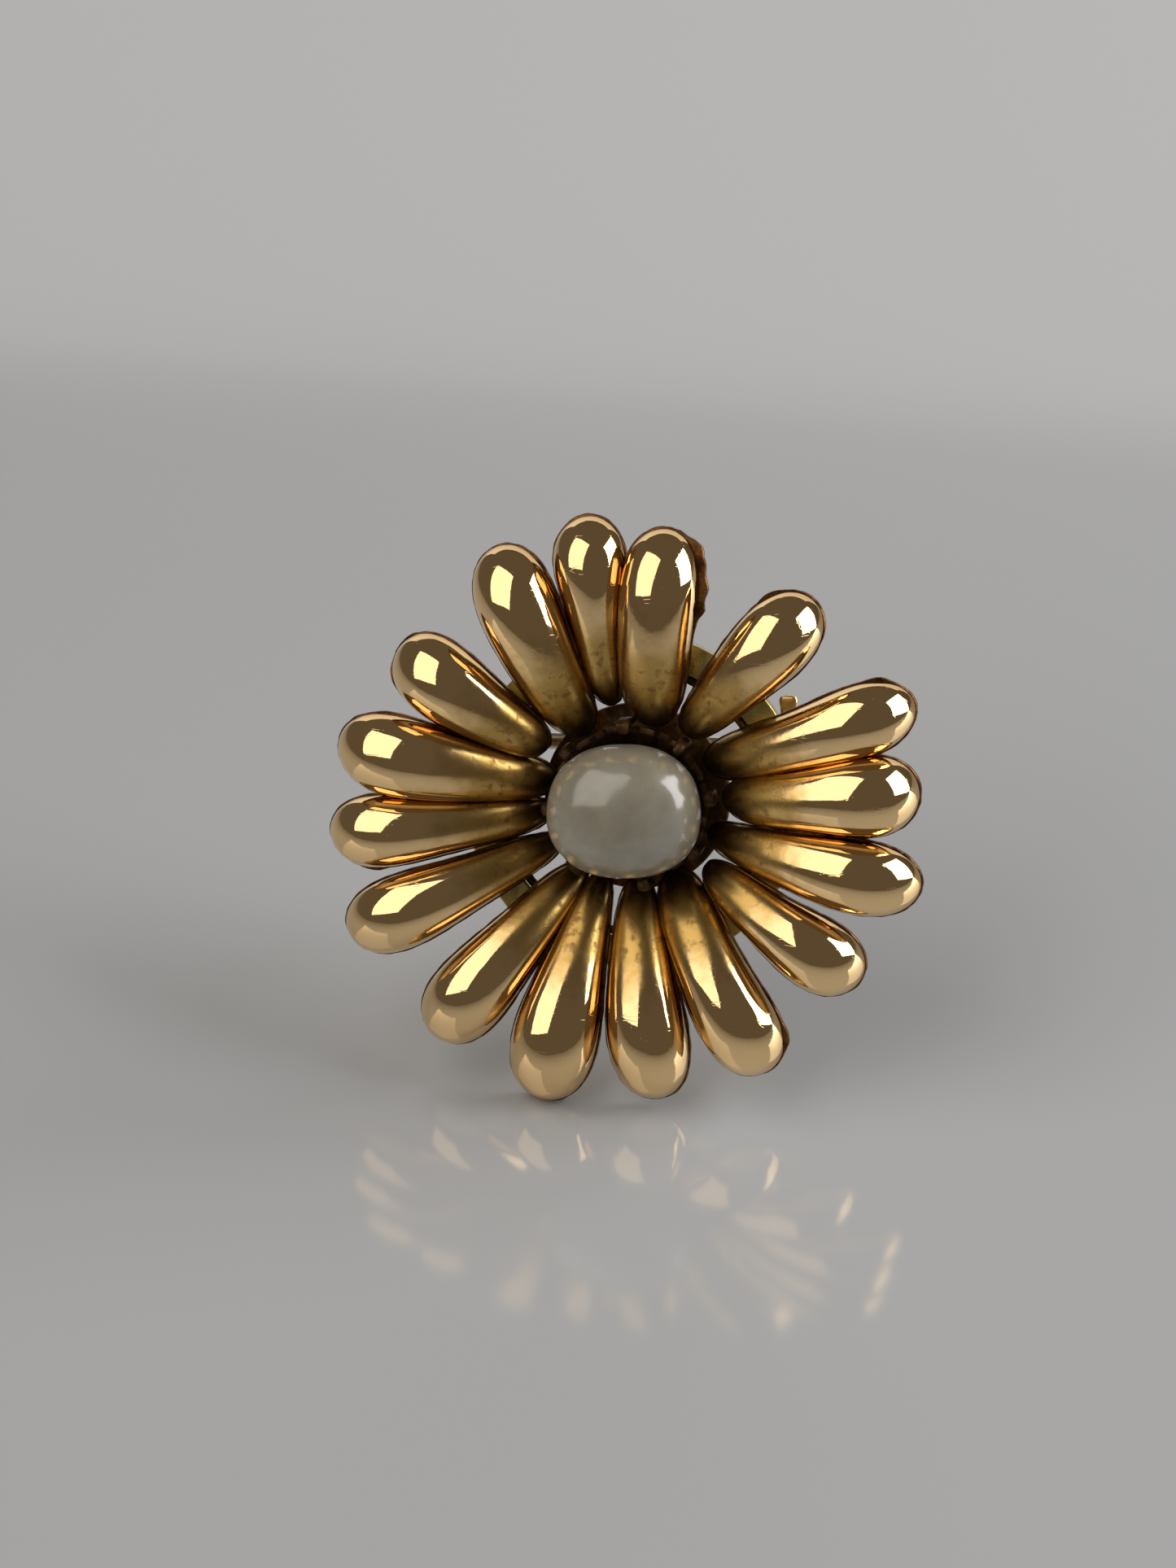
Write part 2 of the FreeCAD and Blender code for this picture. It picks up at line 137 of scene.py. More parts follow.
class BroochBacking(bpy.types.PropertyGroup):
    ring_inner: length("Ring inner radius", "Inner radius of the ring behind the petals", 6.45)
    ring_outer: length("Ring outer radius", "Outer radius of the ring behind the petals", 7.85)
    wire: length("Wire radius", "Radius of the thin wire inside the ring", 0.2)
    wire_circle: length("Wire circle", "Radius of the circle the wire follows", 6.22)
    disc: length("Disc radius", "Radius of the disc under the cup", 4.35)
    peg: length("Peg radius", "Radius of the pegs under the petals", 0.4)
    peg_reach: length("Peg reach", "Distance of the pegs from the axis", 7.1)
    band_gold: colour("Band gold", "Greenish gold of the ring", (0.62, 0.52, 0.20))
    old_gold: colour("Old gold", "Gold of the cup, claws and disc", (0.32, 0.18, 0.065))


class BroochFittings(bpy.types.PropertyGroup):
    pin: length("Pin radius", "Radius of the pin's free length", 0.4)
    neck: length("Neck radius", "Radius of the pin inside the catch", 0.23)
    knuckle: length("Knuckle radius", "Radius of the pin's knuckle", 0.78)
    cheek: length("Catch cheek radius", "Outer radius of the catch's cheeks", 1.3)
    sleeve: length("Sleeve radius", "Outer radius of the turning sleeve", 1.05)
    edge: length("Edge", "Rounding of the fittings' edges", 0.05)
    gold: colour("Fitting gold", "Gold of the hinge and the catch", (0.80, 0.56, 0.24))
    steel: colour("Steel", "Colour of the pin and the rivet", (0.56, 0.54, 0.51))


class BroochStage(bpy.types.PropertyGroup):
    distance: length("Distance", "Distance from the camera to the flower's middle", 200)
    turn: bpy.props.FloatProperty(
        name="Turn", description="Camera to the right of the face", default=math.radians(10), subtype="ANGLE"
    )
    rise: bpy.props.FloatProperty(
        name="Rise", description="Camera above the face's axis", default=math.radians(10), subtype="ANGLE"
    )
    lean: bpy.props.FloatProperty(
        name="Lean", description="How far the flower leans back from the table", default=math.radians(26.6),
        subtype="ANGLE",
    )
    table: colour("Table", "Pale glossy table", (0.54, 0.555, 0.58))
    surround: colour("Surround", "Dim studio round the brooch", (0.105, 0.092, 0.076))
    backdrop: colour("Backdrop", "Far end of the table", (0.43, 0.43, 0.43))


# Shader expressions.


class Wire:
    """An output socket; arithmetic on it adds Math nodes."""

    def __init__(self, tree, socket):
        self.tree = tree
        self.socket = socket

    def math(self, operation, *terms):
        return add_node(self.tree, "ShaderNodeMath", {"operation": operation}, dict(enumerate(terms)))

    def __add__(self, other):
        return self.math("ADD", self, other)

    def __sub__(self, other):
        return self.math("SUBTRACT", self, other)

    def __mul__(self, other):
        return self.math("MULTIPLY", self, other)

    def __pow__(self, other):
        return self.math("POWER", self, other)

    def __radd__(self, other):
        return self.math("ADD", other, self)

    def __rsub__(self, other):
        return self.math("SUBTRACT", other, self)

    def __rmul__(self, other):
        return self.math("MULTIPLY", other, self)

    def least(self, other):
        return self.math("MINIMUM", self, other)

    def step(self, low, high):
        """Smooth step from 0 at low to 1 at high; low may be the larger."""
        values = {0: self, 1: low, 2: high, 3: 0.0, 4: 1.0}
        if low > high:
            values = {0: self, 1: high, 2: low, 3: 1.0, 4: 0.0}
        return add_node(self.tree, "ShaderNodeMapRange", {"interpolation_type": "SMOOTHSTEP"}, values)

    def dot(self, vector):
        terms = {0: self, 1: tuple(vector)}
        return add_node(self.tree, "ShaderNodeVectorMath", {"operation": "DOT_PRODUCT"}, terms, "Value")

    def vector(self, operation, *terms):
        return add_node(self.tree, "ShaderNodeVectorMath", {"operation": operation}, dict(enumerate(terms)))

    def stretched(self, x, y, z):
        return self.vector("MULTIPLY", self, (x, y, z))

    def moved(self, other):
        return self.vector("ADD", self, other)


def add_node(tree, kind, settings=None, values=None, output=0):
    """A node with its settings, then the values or links of its sockets; gives one output."""
    node = tree.nodes.new(kind)
    for name, value in (settings or {}).items():
        if name == "stops":
            elements = node.color_ramp.elements
            for index, (position, stop) in enumerate(value):
                element = elements[index] if index < len(elements) else elements.new(position)
                element.position = position
                element.color = (*stop, 1)
        else:
            setattr(node, name, value)
    for key, value in (values or {}).items():
        socket = node.inputs[key]
        if isinstance(value, Wire):
            tree.links.new(value.socket, socket)
        elif socket.type == "RGBA" and len(value) == 3:
            socket.default_value = (*value, 1)
        else:
            socket.default_value = value
    return Wire(tree, node.outputs[output]) if len(node.outputs) else node


class Finish:
    """A material built round one Principled BSDF."""

    def __init__(self, name):
        self.material = bpy.data.materials.new(name)
        self.material.use_nodes = True
        self.tree = self.material.node_tree
        self.tree.nodes.clear()
        self.spot = self.node("ShaderNodeTexCoord", output="Object").stretched(1 / MM, 1 / MM, 1 / MM)

    def node(self, kind, settings=None, values=None, output=0):
        return add_node(self.tree, kind, settings, values, output)

    def noise(self, scale, detail=3.0, rough=0.55, spot=None, distortion=0.0):
        values = {"Vector": spot or self.spot, "Scale": scale, "Detail": detail, "Roughness": rough}
        values["Distortion"] = distortion
        return self.node("ShaderNodeTexNoise", None, values)

    def cells(self, scale, spot=None, feature="F1"):
        values = {"Vector": spot or self.spot, "Scale": scale}
        return self.node("ShaderNodeTexVoronoi", {"feature": feature}, values)

    def mix(self, factor, first, second):
        return self.node("ShaderNodeMix", {"data_type": "RGBA"}, {0: factor, 6: first, 7: second}, 2)

    def parts(self, vector):
        split = self.node("ShaderNodeSeparateXYZ", None, {0: vector})
        return [Wire(self.tree, split.socket.node.outputs[index]) for index in range(3)]

    def axis_distance(self):
        """Distance from the flower's axis, in millimetres."""
        x, unused, z = self.parts(self.spot)
        across = x - FACE.x / MM
        up = z - FACE.z / MM
        return (across * across + up * up) ** 0.5

    def relief(self, height, strength=1.0):
        """Bump whose height is in millimetres."""
        return self.node("ShaderNodeBump", None, {"Strength": strength, "Distance": MM, "Height": height})

    def done(self, **values):
        """Principled BSDF from socket names with underscores for spaces, and the output."""
        sockets = {key.replace("_", " "): value for key, value in values.items()}
        surface = self.node("ShaderNodeBsdfPrincipled", None, sockets)
        self.node("ShaderNodeOutputMaterial", None, {"Surface": surface})
        return self.material


def fine_scratches(finish, along, across, threshold=0.05):
    """Thin scratch lines: the borders of long stretched cells, from 0 to 1."""
    spot = finish.spot.moved((3.1, 1.7, 0.6)).stretched(along, across, across)
    lines = finish.cells(1.0, spot, "DISTANCE_TO_EDGE")
    breaks = finish.noise(0.9, 2.0).step(0.5, 0.62)
    return lines.step(threshold, 0.0) * breaks


def petal_finish(petals):
    """Polished gold that turns satin and brown towards the flower's middle, with painted shade: darker gold
    low on the flanks, in the corners and towards the middle.
    """
    finish = Finish("petal gold")
    reach = finish.axis_distance()
    broad = finish.noise(0.55, 3.0)
    mottle = finish.noise(2.2, 5.0, 0.6)
    profile = finish.node("ShaderNodeUVMap", {"uv_map": "Profile"})
    height = finish.parts(profile)[1]
    # Partly real, partly painted shade: towards the flower's middle the gold is unpolished and rougher, and
    # its colour is also painted darker there as shade.
    satin_and_shade = (reach + (broad - 0.5) * 4.0 + (mottle - 0.5) * 1.2).step(9.6, 6.6)
    # Partly tarnish, partly painted shade: low on each shell, in the corner where it meets its plate, the
    # colour turns tarnish brown and the gloss drops.
    corner = height.step(0.26, 0.0) * (0.35 + 0.65 * satin_and_shade)
    film = finish.noise(0.8, 4.0, 0.6, finish.spot.moved((7, 2, 5))).step(0.52, 0.75)
    brown = (mottle + satin_and_shade * 0.16).step(0.66, 0.82) * satin_and_shade
    # Painted shade: low on the flanks each petal's gold is painted darker, standing in for the shade between
    # neighbouring petals.
    side = height.step(0.40, 0.05) * 0.6
    base = finish.mix(side, tuple(petals.gold), (0.50, 0.30, 0.065))
    base = finish.mix(satin_and_shade * 0.9, base, tuple(petals.dull_gold))
    base = finish.mix((corner * 0.7 + brown * 0.55).least(1.0), base, tuple(petals.tarnish_and_shade))
    rough = petals.gloss + satin_and_shade * 0.24 + film * 0.035 + brown * 0.15 + corner * 0.12
    hammer = (finish.noise(0.8, 1.0) - 0.5) * 0.010
    hammer = hammer + (finish.noise(2.6, 2.0) - 0.5) * 0.0022 * (1 + 2 * satin_and_shade)
    grain = (finish.noise(18.0, 3.0) - 0.5) * 0.0012 * (0.12 + satin_and_shade)
    scratch = fine_scratches(finish, 0.5, 3.0) * -0.0012
    pits = finish.cells(3.0).step(0.07, 0.02) * -0.004 * broad.step(0.5, 0.65)
    return finish.done(
        Base_Color=base,
        Metallic=1.0,
        Roughness=rough,
        Normal=finish.relief(hammer + grain + scratch + pits),
    )


def plate_finish(petals):
    """Rough-cut, brown-stained sheet gold with file strokes."""
    finish = Finish("petal back gold")
    stain = finish.noise(1.1, 5.0, 0.65)
    strokes = finish.noise(1.0, 3.0, 0.5, finish.spot.stretched(1.5, 1.5, 14.0))
    fine = finish.noise(9.0, 4.0)
    worn = stain.step(0.42, 0.66)
    base = finish.mix(worn, (0.20, 0.09, 0.03), (0.055, 0.02, 0.008))
    facing = finish.parts(finish.node("ShaderNodeTexCoord", output="Normal"))[1]
    behind = facing.step(0.2, 0.8)
    gold = finish.mix(stain.step(0.35, 0.7) * 0.55, (0.62, 0.42, 0.17), tuple(petals.dull_gold))
    base = finish.mix(behind, base, gold)
    base = finish.mix(fine.step(0.5, 0.8) * 0.3, base, (0.34, 0.17, 0.06))
    relief = (strokes - 0.5) * 0.012 + (fine - 0.5) * 0.008 + fine_scratches(finish, 1.0, 4.0) * -0.004
    return finish.done(
        Base_Color=base, Metallic=1.0, Roughness=0.3 + worn * 0.22 + fine * 0.08, Normal=finish.relief(relief)
    )


def aged_gold(name, bright, dark, wear=0.5, rough=0.25):
    """Unpolished gold with brown in its hollows, file strokes and worn bright spots."""
    finish = Finish(name)
    stain = finish.noise(1.6, 5.0, 0.62)
    patch = finish.noise(0.5, 2.0)
    fine = finish.noise(12.0, 4.0)
    strokes = finish.noise(1.0, 2.0, 0.5, finish.spot.stretched(10.0, 2.0, 2.0))
    dirt = (stain * 0.6 + patch * 0.4).step(wear + 0.2, wear - 0.14)
    base = finish.mix(dirt, bright, dark)
    base = finish.mix(fine.step(0.58, 0.75) * 0.35, base, bright)
    pits = finish.cells(4.0).step(0.10, 0.02) * -0.008 * stain.step(0.45, 0.6)
    relief = (strokes - 0.5) * 0.005 + (fine - 0.5) * 0.006 + (stain - 0.5) * 0.02 + pits
    return finish.done(
        Base_Color=base,
        Metallic=1.0 - dirt * 0.25,
        Roughness=rough + dirt * 0.25 + (fine - 0.5) * 0.1,
        Normal=finish.relief(relief),
    )


def steel_finish(fittings):
    """Drawn steel with lengthwise lines, faint stains and a few pits."""
    finish = Finish("pin steel")
    lines = finish.noise(1.0, 3.0, 0.5, finish.spot.stretched(0.6, 22.0, 22.0))
    stain = finish.noise(1.3, 4.0).step(0.5, 0.75)
    fine = finish.noise(14.0, 3.0)
    base = finish.mix(stain * 0.6, tuple(fittings.steel), (0.30, 0.25, 0.20))
    relief = (lines - 0.5) * 0.003 + (fine - 0.5) * 0.0015 + finish.cells(3.5).step(0.07, 0.01) * -0.006
    return finish.done(
        Base_Color=base,
        Metallic=1.0,
        Roughness=0.18 + lines * 0.1 + stain * 0.2,
        Normal=finish.relief(relief),
    )


def pearl_finish(pearl):
    """Satin nacre: growth rings, clouds, small pits, a thin clear gloss."""
    finish = Finish("pearl nacre")
    centre = place([(-0.9, 1.4, 2.1)])[0] / MM
    away = finish.spot.moved(tuple(-centre))
    swirl = finish.noise(0.5, 2.0)
    span = finish.node("ShaderNodeVectorMath", {"operation": "LENGTH"}, {0: away}, "Value")
    ring_place = span * 9.0 + (swirl - 0.5) * 7.0
    rings = finish.node("ShaderNodeMath", {"operation": "SINE"}, {0: ring_place}) * 0.5 + 0.5
    cloud = finish.noise(0.7, 4.0, 0.6)
    fine = finish.noise(8.0, 4.0)
    shade = (cloud * 0.9 + rings * 0.02 + fine * 0.08).step(0.34, 0.70)
    base = finish.mix(shade, tuple(pearl.shade), tuple(pearl.body))
    grey = finish.noise(0.45, 1.0, 0.5, finish.spot.moved((4, 4, 4))).step(0.45, 0.7)
    base = finish.mix(grey * 0.4, base, (0.36, 0.35, 0.32))
    pits = finish.cells(1.3).step(0.05, 0.01) * -0.01
    relief = (rings - 0.5) * 0.0003 + (fine - 0.5) * 0.0008 + (cloud - 0.5) * 0.02 + pits
    return finish.done(
        Base_Color=base,
        Roughness=0.34 + cloud * 0.12,
        IOR=1.53,
        Specular_IOR_Level=0.5,
        Subsurface_Weight=0.25,
        Subsurface_Radius=(0.9, 0.75, 0.6),
        Subsurface_Scale=0.0006,
        Coat_Weight=1.0,
        Coat_Roughness=0.15,
        Coat_IOR=1.75,
        Sheen_Weight=0.08,
        Sheen_Roughness=0.4,
        Normal=finish.relief(relief),
    )


# Mesh helpers.


def new_piece(name, parts, body, material, nodes, sharp=38, profile=None):
    """One object from (points, faces) parts in face-frame millimetres, riding on its body."""
    points, faces = [], []
    for part_points, part_faces in parts:
        start = len(points)
        points.extend(map(tuple, np.asarray(part_points, float).reshape(-1, 3)))
        faces.extend(tuple(start + index for index in face) for face in part_faces)
    mesh = bpy.data.meshes.new(name)
    mesh.from_pydata([tuple(p) for p in place(points)], [], faces)
    mesh.validate()
    mesh.shade_smooth()
    mesh.set_sharp_from_angle(angle=math.radians(sharp))
    if profile is not None:
        layer = mesh.uv_layers.new(name="Profile")
        corners = np.zeros(len(mesh.loops), int)
        mesh.loops.foreach_get("vertex_index", corners)
        layer.data.foreach_set("uv", np.asarray(profile, float)[corners].ravel())
    mesh.materials.append(material)
    piece = bpy.data.objects.new(name, mesh)
    bpy.context.scene.collection.objects.link(piece)
    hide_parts(*nodes)
    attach(piece, body)
    return piece


def disc_grid(count):
    """Square grid mapped to the unit disc without a pole: points, quads and the rim's indices."""
    line = np.linspace(-1, 1, count + 1)
    across, up = np.meshgrid(line, line)
    x = across * np.sqrt(1 - up**2 / 2)
    y = up * np.sqrt(1 - across**2 / 2)
    index = np.arange((count + 1) ** 2).reshape(count + 1, count + 1)
    quads = [
        (index[i, j], index[i, j + 1], index[i + 1, j + 1], index[i + 1, j])
        for i in range(count)
        for j in range(count)
    ]
    rim = [*index[0, :-1], *index[:-1, -1], *index[-1, :0:-1], *index[:0:-1, 0]]
    return np.column_stack((x.ravel(), y.ravel())), quads, rim


def turned(points, bearing):
    """Points of a piece drawn along +x, turned to a bearing in degrees."""
    c, s = math.cos(math.radians(bearing)), math.sin(math.radians(bearing))
    points = np.asarray(points, float).reshape(-1, 3)
    x, y, z = points.T
    return np.column_stack((x * c - y * s, x * s + y * c, z))


def rounded_profile(corners, radius, steps=3):
    """A closed outline with its corners rounded."""
    corners = [Vector(corner) for corner in corners]
    outline = []
    for i, corner in enumerate(corners):
        before = (corners[i - 1] - corner)
        after = (corners[(i + 1) % len(corners)] - corner)
        cut = min(radius, before.length * 0.45, after.length * 0.45)
        start = corner + before.normalized() * cut
        end = corner + after.normalized() * cut
        for k in range(steps + 1):
            t = k / steps
            outline.append(start * (1 - t) ** 2 + corner * 2 * t * (1 - t) + end * t * t)
    return [(p.x, p.y) for p in outline]


def lathe(profile, segments, wobble=None, closed=True):
    """A profile of (radius, z) turned round z. wobble(angle, radius, z) may move each point."""
    points = []
    for k in range(segments):
        angle = 2 * math.pi * k / segments
        for radius, z in profile:
            r, h = wobble(angle, radius, z) if wobble else (radius, z)
            points.append((r * math.cos(angle), r * math.sin(angle), h))
    size = len(profile)
    faces = []
    for k in range(segments):
        here, there = k * size, ((k + 1) % segments) * size
        for i in range(size if closed else size - 1):
            n = (i + 1) % size
            faces.append((here + i, there + i, there + n, here + n))
    if not closed:
        faces.append(tuple(k * size for k in range(segments))[::-1])
        faces.append(tuple(k * size + size - 1 for k in range(segments)))
    return np.array(points), faces


def along_axis(part, axis, middle):
    """A lathe's part with its z turned to +x or +y, and moved to a middle."""
    points, faces = part
    x, y, z = points.T
    if axis == "x":
        points = np.column_stack((z, x, y))
    elif axis == "y":
        points = np.column_stack((y, z, x))
    return points + np.array(middle), faces


def slab(outline, thickness, edge, middle, axis="x"):
    """A flat plate with a rounded edge: outline in the plane across the axis, centred on it."""
    curve = bpy.data.curves.new("outline", "CURVE")
    curve.dimensions = "2D"
    curve.fill_mode = "BOTH"
    curve.extrude = thickness / 2 - edge
    curve.bevel_depth = edge
    curve.bevel_resolution = 2
    curve.offset = -edge
    spline = curve.splines.new("POLY")
    spline.points.add(len(outline) - 1)
    for point, (x, y) in zip(spline.points, outline):
        point.co = (x, y, 0, 1)
    spline.use_cyclic_u = True
    holder = bpy.data.objects.new("outline", curve)
    mesh = bpy.data.meshes.new_from_object(holder)
    points = np.array([tuple(v.co) for v in mesh.vertices])
    faces = [tuple(p.vertices) for p in mesh.polygons]
    bpy.data.objects.remove(holder)
    bpy.data.curves.remove(curve)
    bpy.data.meshes.remove(mesh)
    x, y, z = points.T
    order = {"x": (z, x, y), "y": (y, z, x), "z": (x, y, z)}[axis]
    return np.column_stack(order) + np.array(middle), faces


def arc(radius, start, end, count, middle=(0, 0)):
    """Points on a circle from one angle to another, in degrees."""
    angles = np.radians(np.linspace(start, end, count))
    return [(middle[0] + radius * math.cos(a), middle[1] + radius * math.sin(a)) for a in angles]


def cap_ring(ring, way, share):
    """A smaller ring beyond the end of a bar, for its rounded cap."""
    point, up, wide, thick = ring
    return point + way * math.cos(share * 1.4), up, wide * share, thick * share


def sweep(path, side, sizes, power=2.6, count=20):
    """A bar along a path: superellipse sections (half width along side, half thickness) with round ends."""
    path = [Vector(p) for p in path]
    side = Vector(side).normalized()
    rings = []
    for i, point in enumerate(path):
        tangent = (path[min(i + 1, len(path) - 1)] - path[max(i - 1, 0)]).normalized()
        rings.append((point, tangent.cross(side).normalized(), *sizes[i]))
    first, last = rings[0], rings[-1]
    start_way = (path[0] - path[1]).normalized()
    end_way = (path[-1] - path[-2]).normalized()
    reach = min(first[2], first[3]) * 0.55
    capped = [cap_ring(first, start_way * reach, share) for share in (0.3, 0.75)]
    capped.extend(rings)
    reach = min(last[2], last[3]) * 0.55
    capped.extend(cap_ring(last, end_way * reach, share) for share in (0.75, 0.3))
    points, faces = [], []
    for point, up, wide, thick in capped:
        for k in range(count):
            angle = 2 * math.pi * k / count
            c, s = math.cos(angle), math.sin(angle)
            x = math.copysign(abs(c) ** (2 / power), c) * wide
            y = math.copysign(abs(s) ** (2 / power), s) * thick
            points.append(tuple(point + side * x + up * y))
    for i in range(len(capped) - 1):
        for k in range(count):
            n = (k + 1) % count
            faces.append((i * count + k, (i + 1) * count + k, (i + 1) * count + n, i * count + n))
    faces.append(tuple(range(count)))
    faces.append(tuple(range((len(capped) - 1) * count, len(capped) * count))[::-1])
    return np.array(points), faces


def rough_noise(point, scale, seed):
    """Smooth noise from about -1 to 1 at a point in millimetres."""
    return noise.noise(Vector(point) * scale + Vector((seed * 7.3, seed * 3.1, -seed * 5.7)))


# Petals.


# Half widths of each petal at one, two, three and four fifths of its length from the inner end, and
# how far the petal stands above or below its neighbours.
PETAL_FORMS = [
    (1.22, 1.63, 1.85, 1.85, 0.05),
    (1.17, 1.48, 1.63, 1.63, 0.0),
    (1.07, 1.41, 1.67, 1.70, 0.0),
    (1.44, 1.76, 1.82, 1.72, 0.1),
    (0.93, 1.19, 1.48, 1.65, -0.3),
    (1.34, 1.64, 1.80, 1.78, 0.08),
    (1.26, 1.59, 1.76, 1.72, 0.0),
    (1.26, 1.80, 1.98, 1.82, 0.1),
    (1.07, 1.41, 1.67, 1.67, -0.2),
    (0.93, 1.30, 1.56, 1.70, 0.0),
    (1.11, 1.44, 1.63, 1.78, 0.0),
    (1.11, 1.52, 1.85, 1.93, 0.05),
    (1.15, 1.56, 1.80, 1.80, -0.08),
    (1.33, 1.57, 1.72, 1.80, 0.05),
    (1.00, 1.30, 1.54, 1.67, -0.12),
    (0.98, 1.33, 1.61, 1.67, 0.05),
]
# The CAD shells' end sections stand at these shares of a petal's full length.
FIRST_SHARE = (1 - math.cos(math.radians(14))) / 2
LAST_SHARE = (1 - math.cos(math.radians(172))) / 2


class Petal:
    """Middle line of one petal, measured on its CAD shell, with its outline and arch."""

    def __init__(self, number, petals):
        self.number = number
        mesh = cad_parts[f"petal_{number:02d}_shell"].data
        centres = np.array([tuple(face_point(p.center)) for p in mesh.polygons])[:, :2]
        areas = np.array([p.area for p in mesh.polygons])
        middle = (centres * areas[:, None]).sum(0) / areas.sum()
        off = (centres - middle) * np.sqrt(areas)[:, None]
        along = np.linalg.eigh(off.T @ off)[1][:, 1]
        self.along = along * math.copysign(1, along @ middle)
        corners = np.array([tuple(face_point(v.co)) for v in mesh.vertices])[:, :2]
        places = (corners - middle) @ self.along
        self.length = (places.max() - places.min()) / (LAST_SHARE - FIRST_SHARE)
        self.start = middle + self.along * (places.min() - FIRST_SHARE * self.length)
        self.turn = math.degrees(math.atan2(self.along[1], self.along[0]))
        self.halves = np.array(PETAL_FORMS[number - 1][:4])
        self.lift = PETAL_FORMS[number - 1][4]
        self.top = self.length - petals.crown / MM
        self.bend = min(0.0585, petals.drop / MM / self.top**2)
        self.ratio = petals.dome_ratio
        self.set_swell()

    def set_swell(self):
        """Swell: half width over that of a round-ended unit outline, smooth from end to end."""
        q = np.array([0.2, 0.4, 0.6, 0.8])
        swell = self.halves / np.sqrt(q * (1 - q))
        stations = np.concatenate(([0], q, [1]))
        values = np.concatenate(([swell[0] * 1.2], swell, [swell[3] * 1.2]))
        self.swell = np.polyfit(stations, values, 4, w=[0.6, 1, 1, 1, 1, 0.8])

    def half_width(self, q):
        q = np.clip(q, 0.0, 1.0)
        return np.polyval(self.swell, q) * np.sqrt(q * (1 - q))

    def share_room(self, others):
        """Narrow the outline where a neighbour needs the room, so that the two just touch."""
        limits = []
        for count, half in enumerate(self.halves):
            spot = self.start + self.along * self.length * (count + 1) / 5
            room = half
            for other in others:
                away = spot - other.start
                off = abs(away[0] * other.along[1] - away[1] * other.along[0])
                theirs = other.half_width(away @ other.along / other.length)
                room = min(room, off * half / (half + theirs) + 0.05)
            limits.append(room)
        return np.array(limits)

    def rim_z(self, place):
        return -0.35 + self.lift - self.bend * (place - self.top) ** 2

    def stand(self, disc):
        """Unit-disc points to the shell's along, across and rise, and the unit sphere's."""
        rho = np.hypot(disc[:, 0], disc[:, 1])
        polar = np.minimum(rho, 1) * math.pi / 2
        unit = np.where(rho > 1e-9, np.sin(polar) / np.maximum(rho, 1e-9), 0)
        sx, sy, sz = disc[:, 0] * unit, disc[:, 1] * unit, np.cos(polar)
        q = (1 + sx) / 2
        wide = np.polyval(self.swell, q) / 2
        return self.length * q, wide * sy, self.ratio * wide * sz, sx, sy, sz

    def laid(self, points):
        """Points drawn along +x from the inner end, in their place in the flower."""
        return turned(points, self.turn) + np.array((self.start[0], self.start[1], 0))

    def shell(self, dent, count=46):
        """Closed body of the shell, with soft unevenness."""
        disc, quads, rim = disc_grid(count)
        place_along, across, rise, sx, sy, sz = self.stand(disc)
        base = self.rim_z(place_along)
        top = np.column_stack((place_along, across, base + rise))
        for i, point in enumerate(top):
            push = rough_noise(point, 0.42, self.number) * 1.3
            push += rough_noise(point, 1.1, self.number + 40) * 0.35
            push *= dent * (0.25 + 0.75 * sz[i])
            top[i] += np.array((sx[i] * 0.6, sy[i], sz[i])) * push
        inside = sorted(set(range(len(top))) - set(rim))
        lower = {index: len(top) + k for k, index in enumerate(inside)}
        lower.update({index: index for index in rim})
        bottom = np.column_stack((place_along, across, base))[inside]
        faces = quads + [tuple(lower[i] for i in reversed(quad)) for quad in quads]
        profile = np.column_stack(((1 + sx) / 2, sz))
        profile = np.vstack((profile, np.zeros((len(inside), 2))))
        return self.laid(np.vstack((top, bottom))), faces, profile

    def plate(self, lip_at, thickness, count=34):
        """Closed sheet under the shell; lip_at(q, side, turn) gives how far its edge stands proud."""
        disc, quads, rim = disc_grid(count)
        place_along, across, unused, sx, sy, unused = self.stand(disc)
        way = np.column_stack((sx / (self.length / 2), sy / self.halves.max()))
        way /= np.maximum(np.hypot(way[:, 0], way[:, 1]), 1e-6)[:, None]
        fade = np.clip(np.hypot(disc[:, 0], disc[:, 1]), 0, 1) ** 6
        lips = np.array([lip_at((1 + x) / 2, y, math.atan2(y, x)) for x, y in disc])
        edge = 0.035

        def layer(inset, z_shift, keep):
            grow = fade * (lips - inset)
            x = place_along + way[:, 0] * grow
            y = across + way[:, 1] * grow
            return np.column_stack((x, y, self.rim_z(x) + z_shift))[keep]

        everything = np.arange(len(disc))
        rim_index = np.array(rim)
        top = layer(edge, 0.02, everything)
        bottom = layer(edge, 0.02 - thickness, everything)
        walls = [layer(0, 0.02 - edge, rim_index), layer(0, 0.02 - thickness + edge, rim_index)]
        points = np.vstack((top, bottom, *walls))
        faces = list(quads) + [tuple(len(top) + i for i in reversed(quad)) for quad in quads]
        first = 2 * len(top)
        loops = [rim, list(range(first, first + len(rim)))]
        loops.append(list(range(first + len(rim), first + 2 * len(rim))))
        loops.append([len(top) + i for i in rim])
        for upper, under in zip(loops, loops[1:]):
            for k in range(len(rim)):
                n = (k + 1) % len(rim)
                faces.append((upper[n], upper[k], under[k], under[n]))
        return self.laid(points), faces


def all_petals():
    """The sixteen petals, measured and fitted to each other."""
    petals = bpy.context.scene.brooch_petals
    row = [Petal(number + 1, petals) for number in range(PETAL_COUNT)]
    rooms = [petal.share_room((row[i - 1], row[(i + 1) % PETAL_COUNT])) for i, petal in enumerate(row)]
    for petal, halves in zip(row, rooms):
        petal.halves = halves
        petal.set_swell()
    return row


class BROOCH_OT_petals(bpy.types.Operator):
    """Puffed petal shells with a hand-worked surface"""

    bl_idname = "brooch.petals"
    bl_label = "Petals"

    def execute(self, context):
        petals = context.scene.brooch_petals
        gold = petal_finish(petals)
        for petal in all_petals():
            points, faces, profile = petal.shell(petals.dent / MM)
            node = f"petal_{petal.number:02d}_shell"
            new_piece(
                f"puffed_petal_{petal.number:02d}", [(points, faces)],
                "flower", gold, [node], 50, profile,
            )
        return {"FINISHED"}


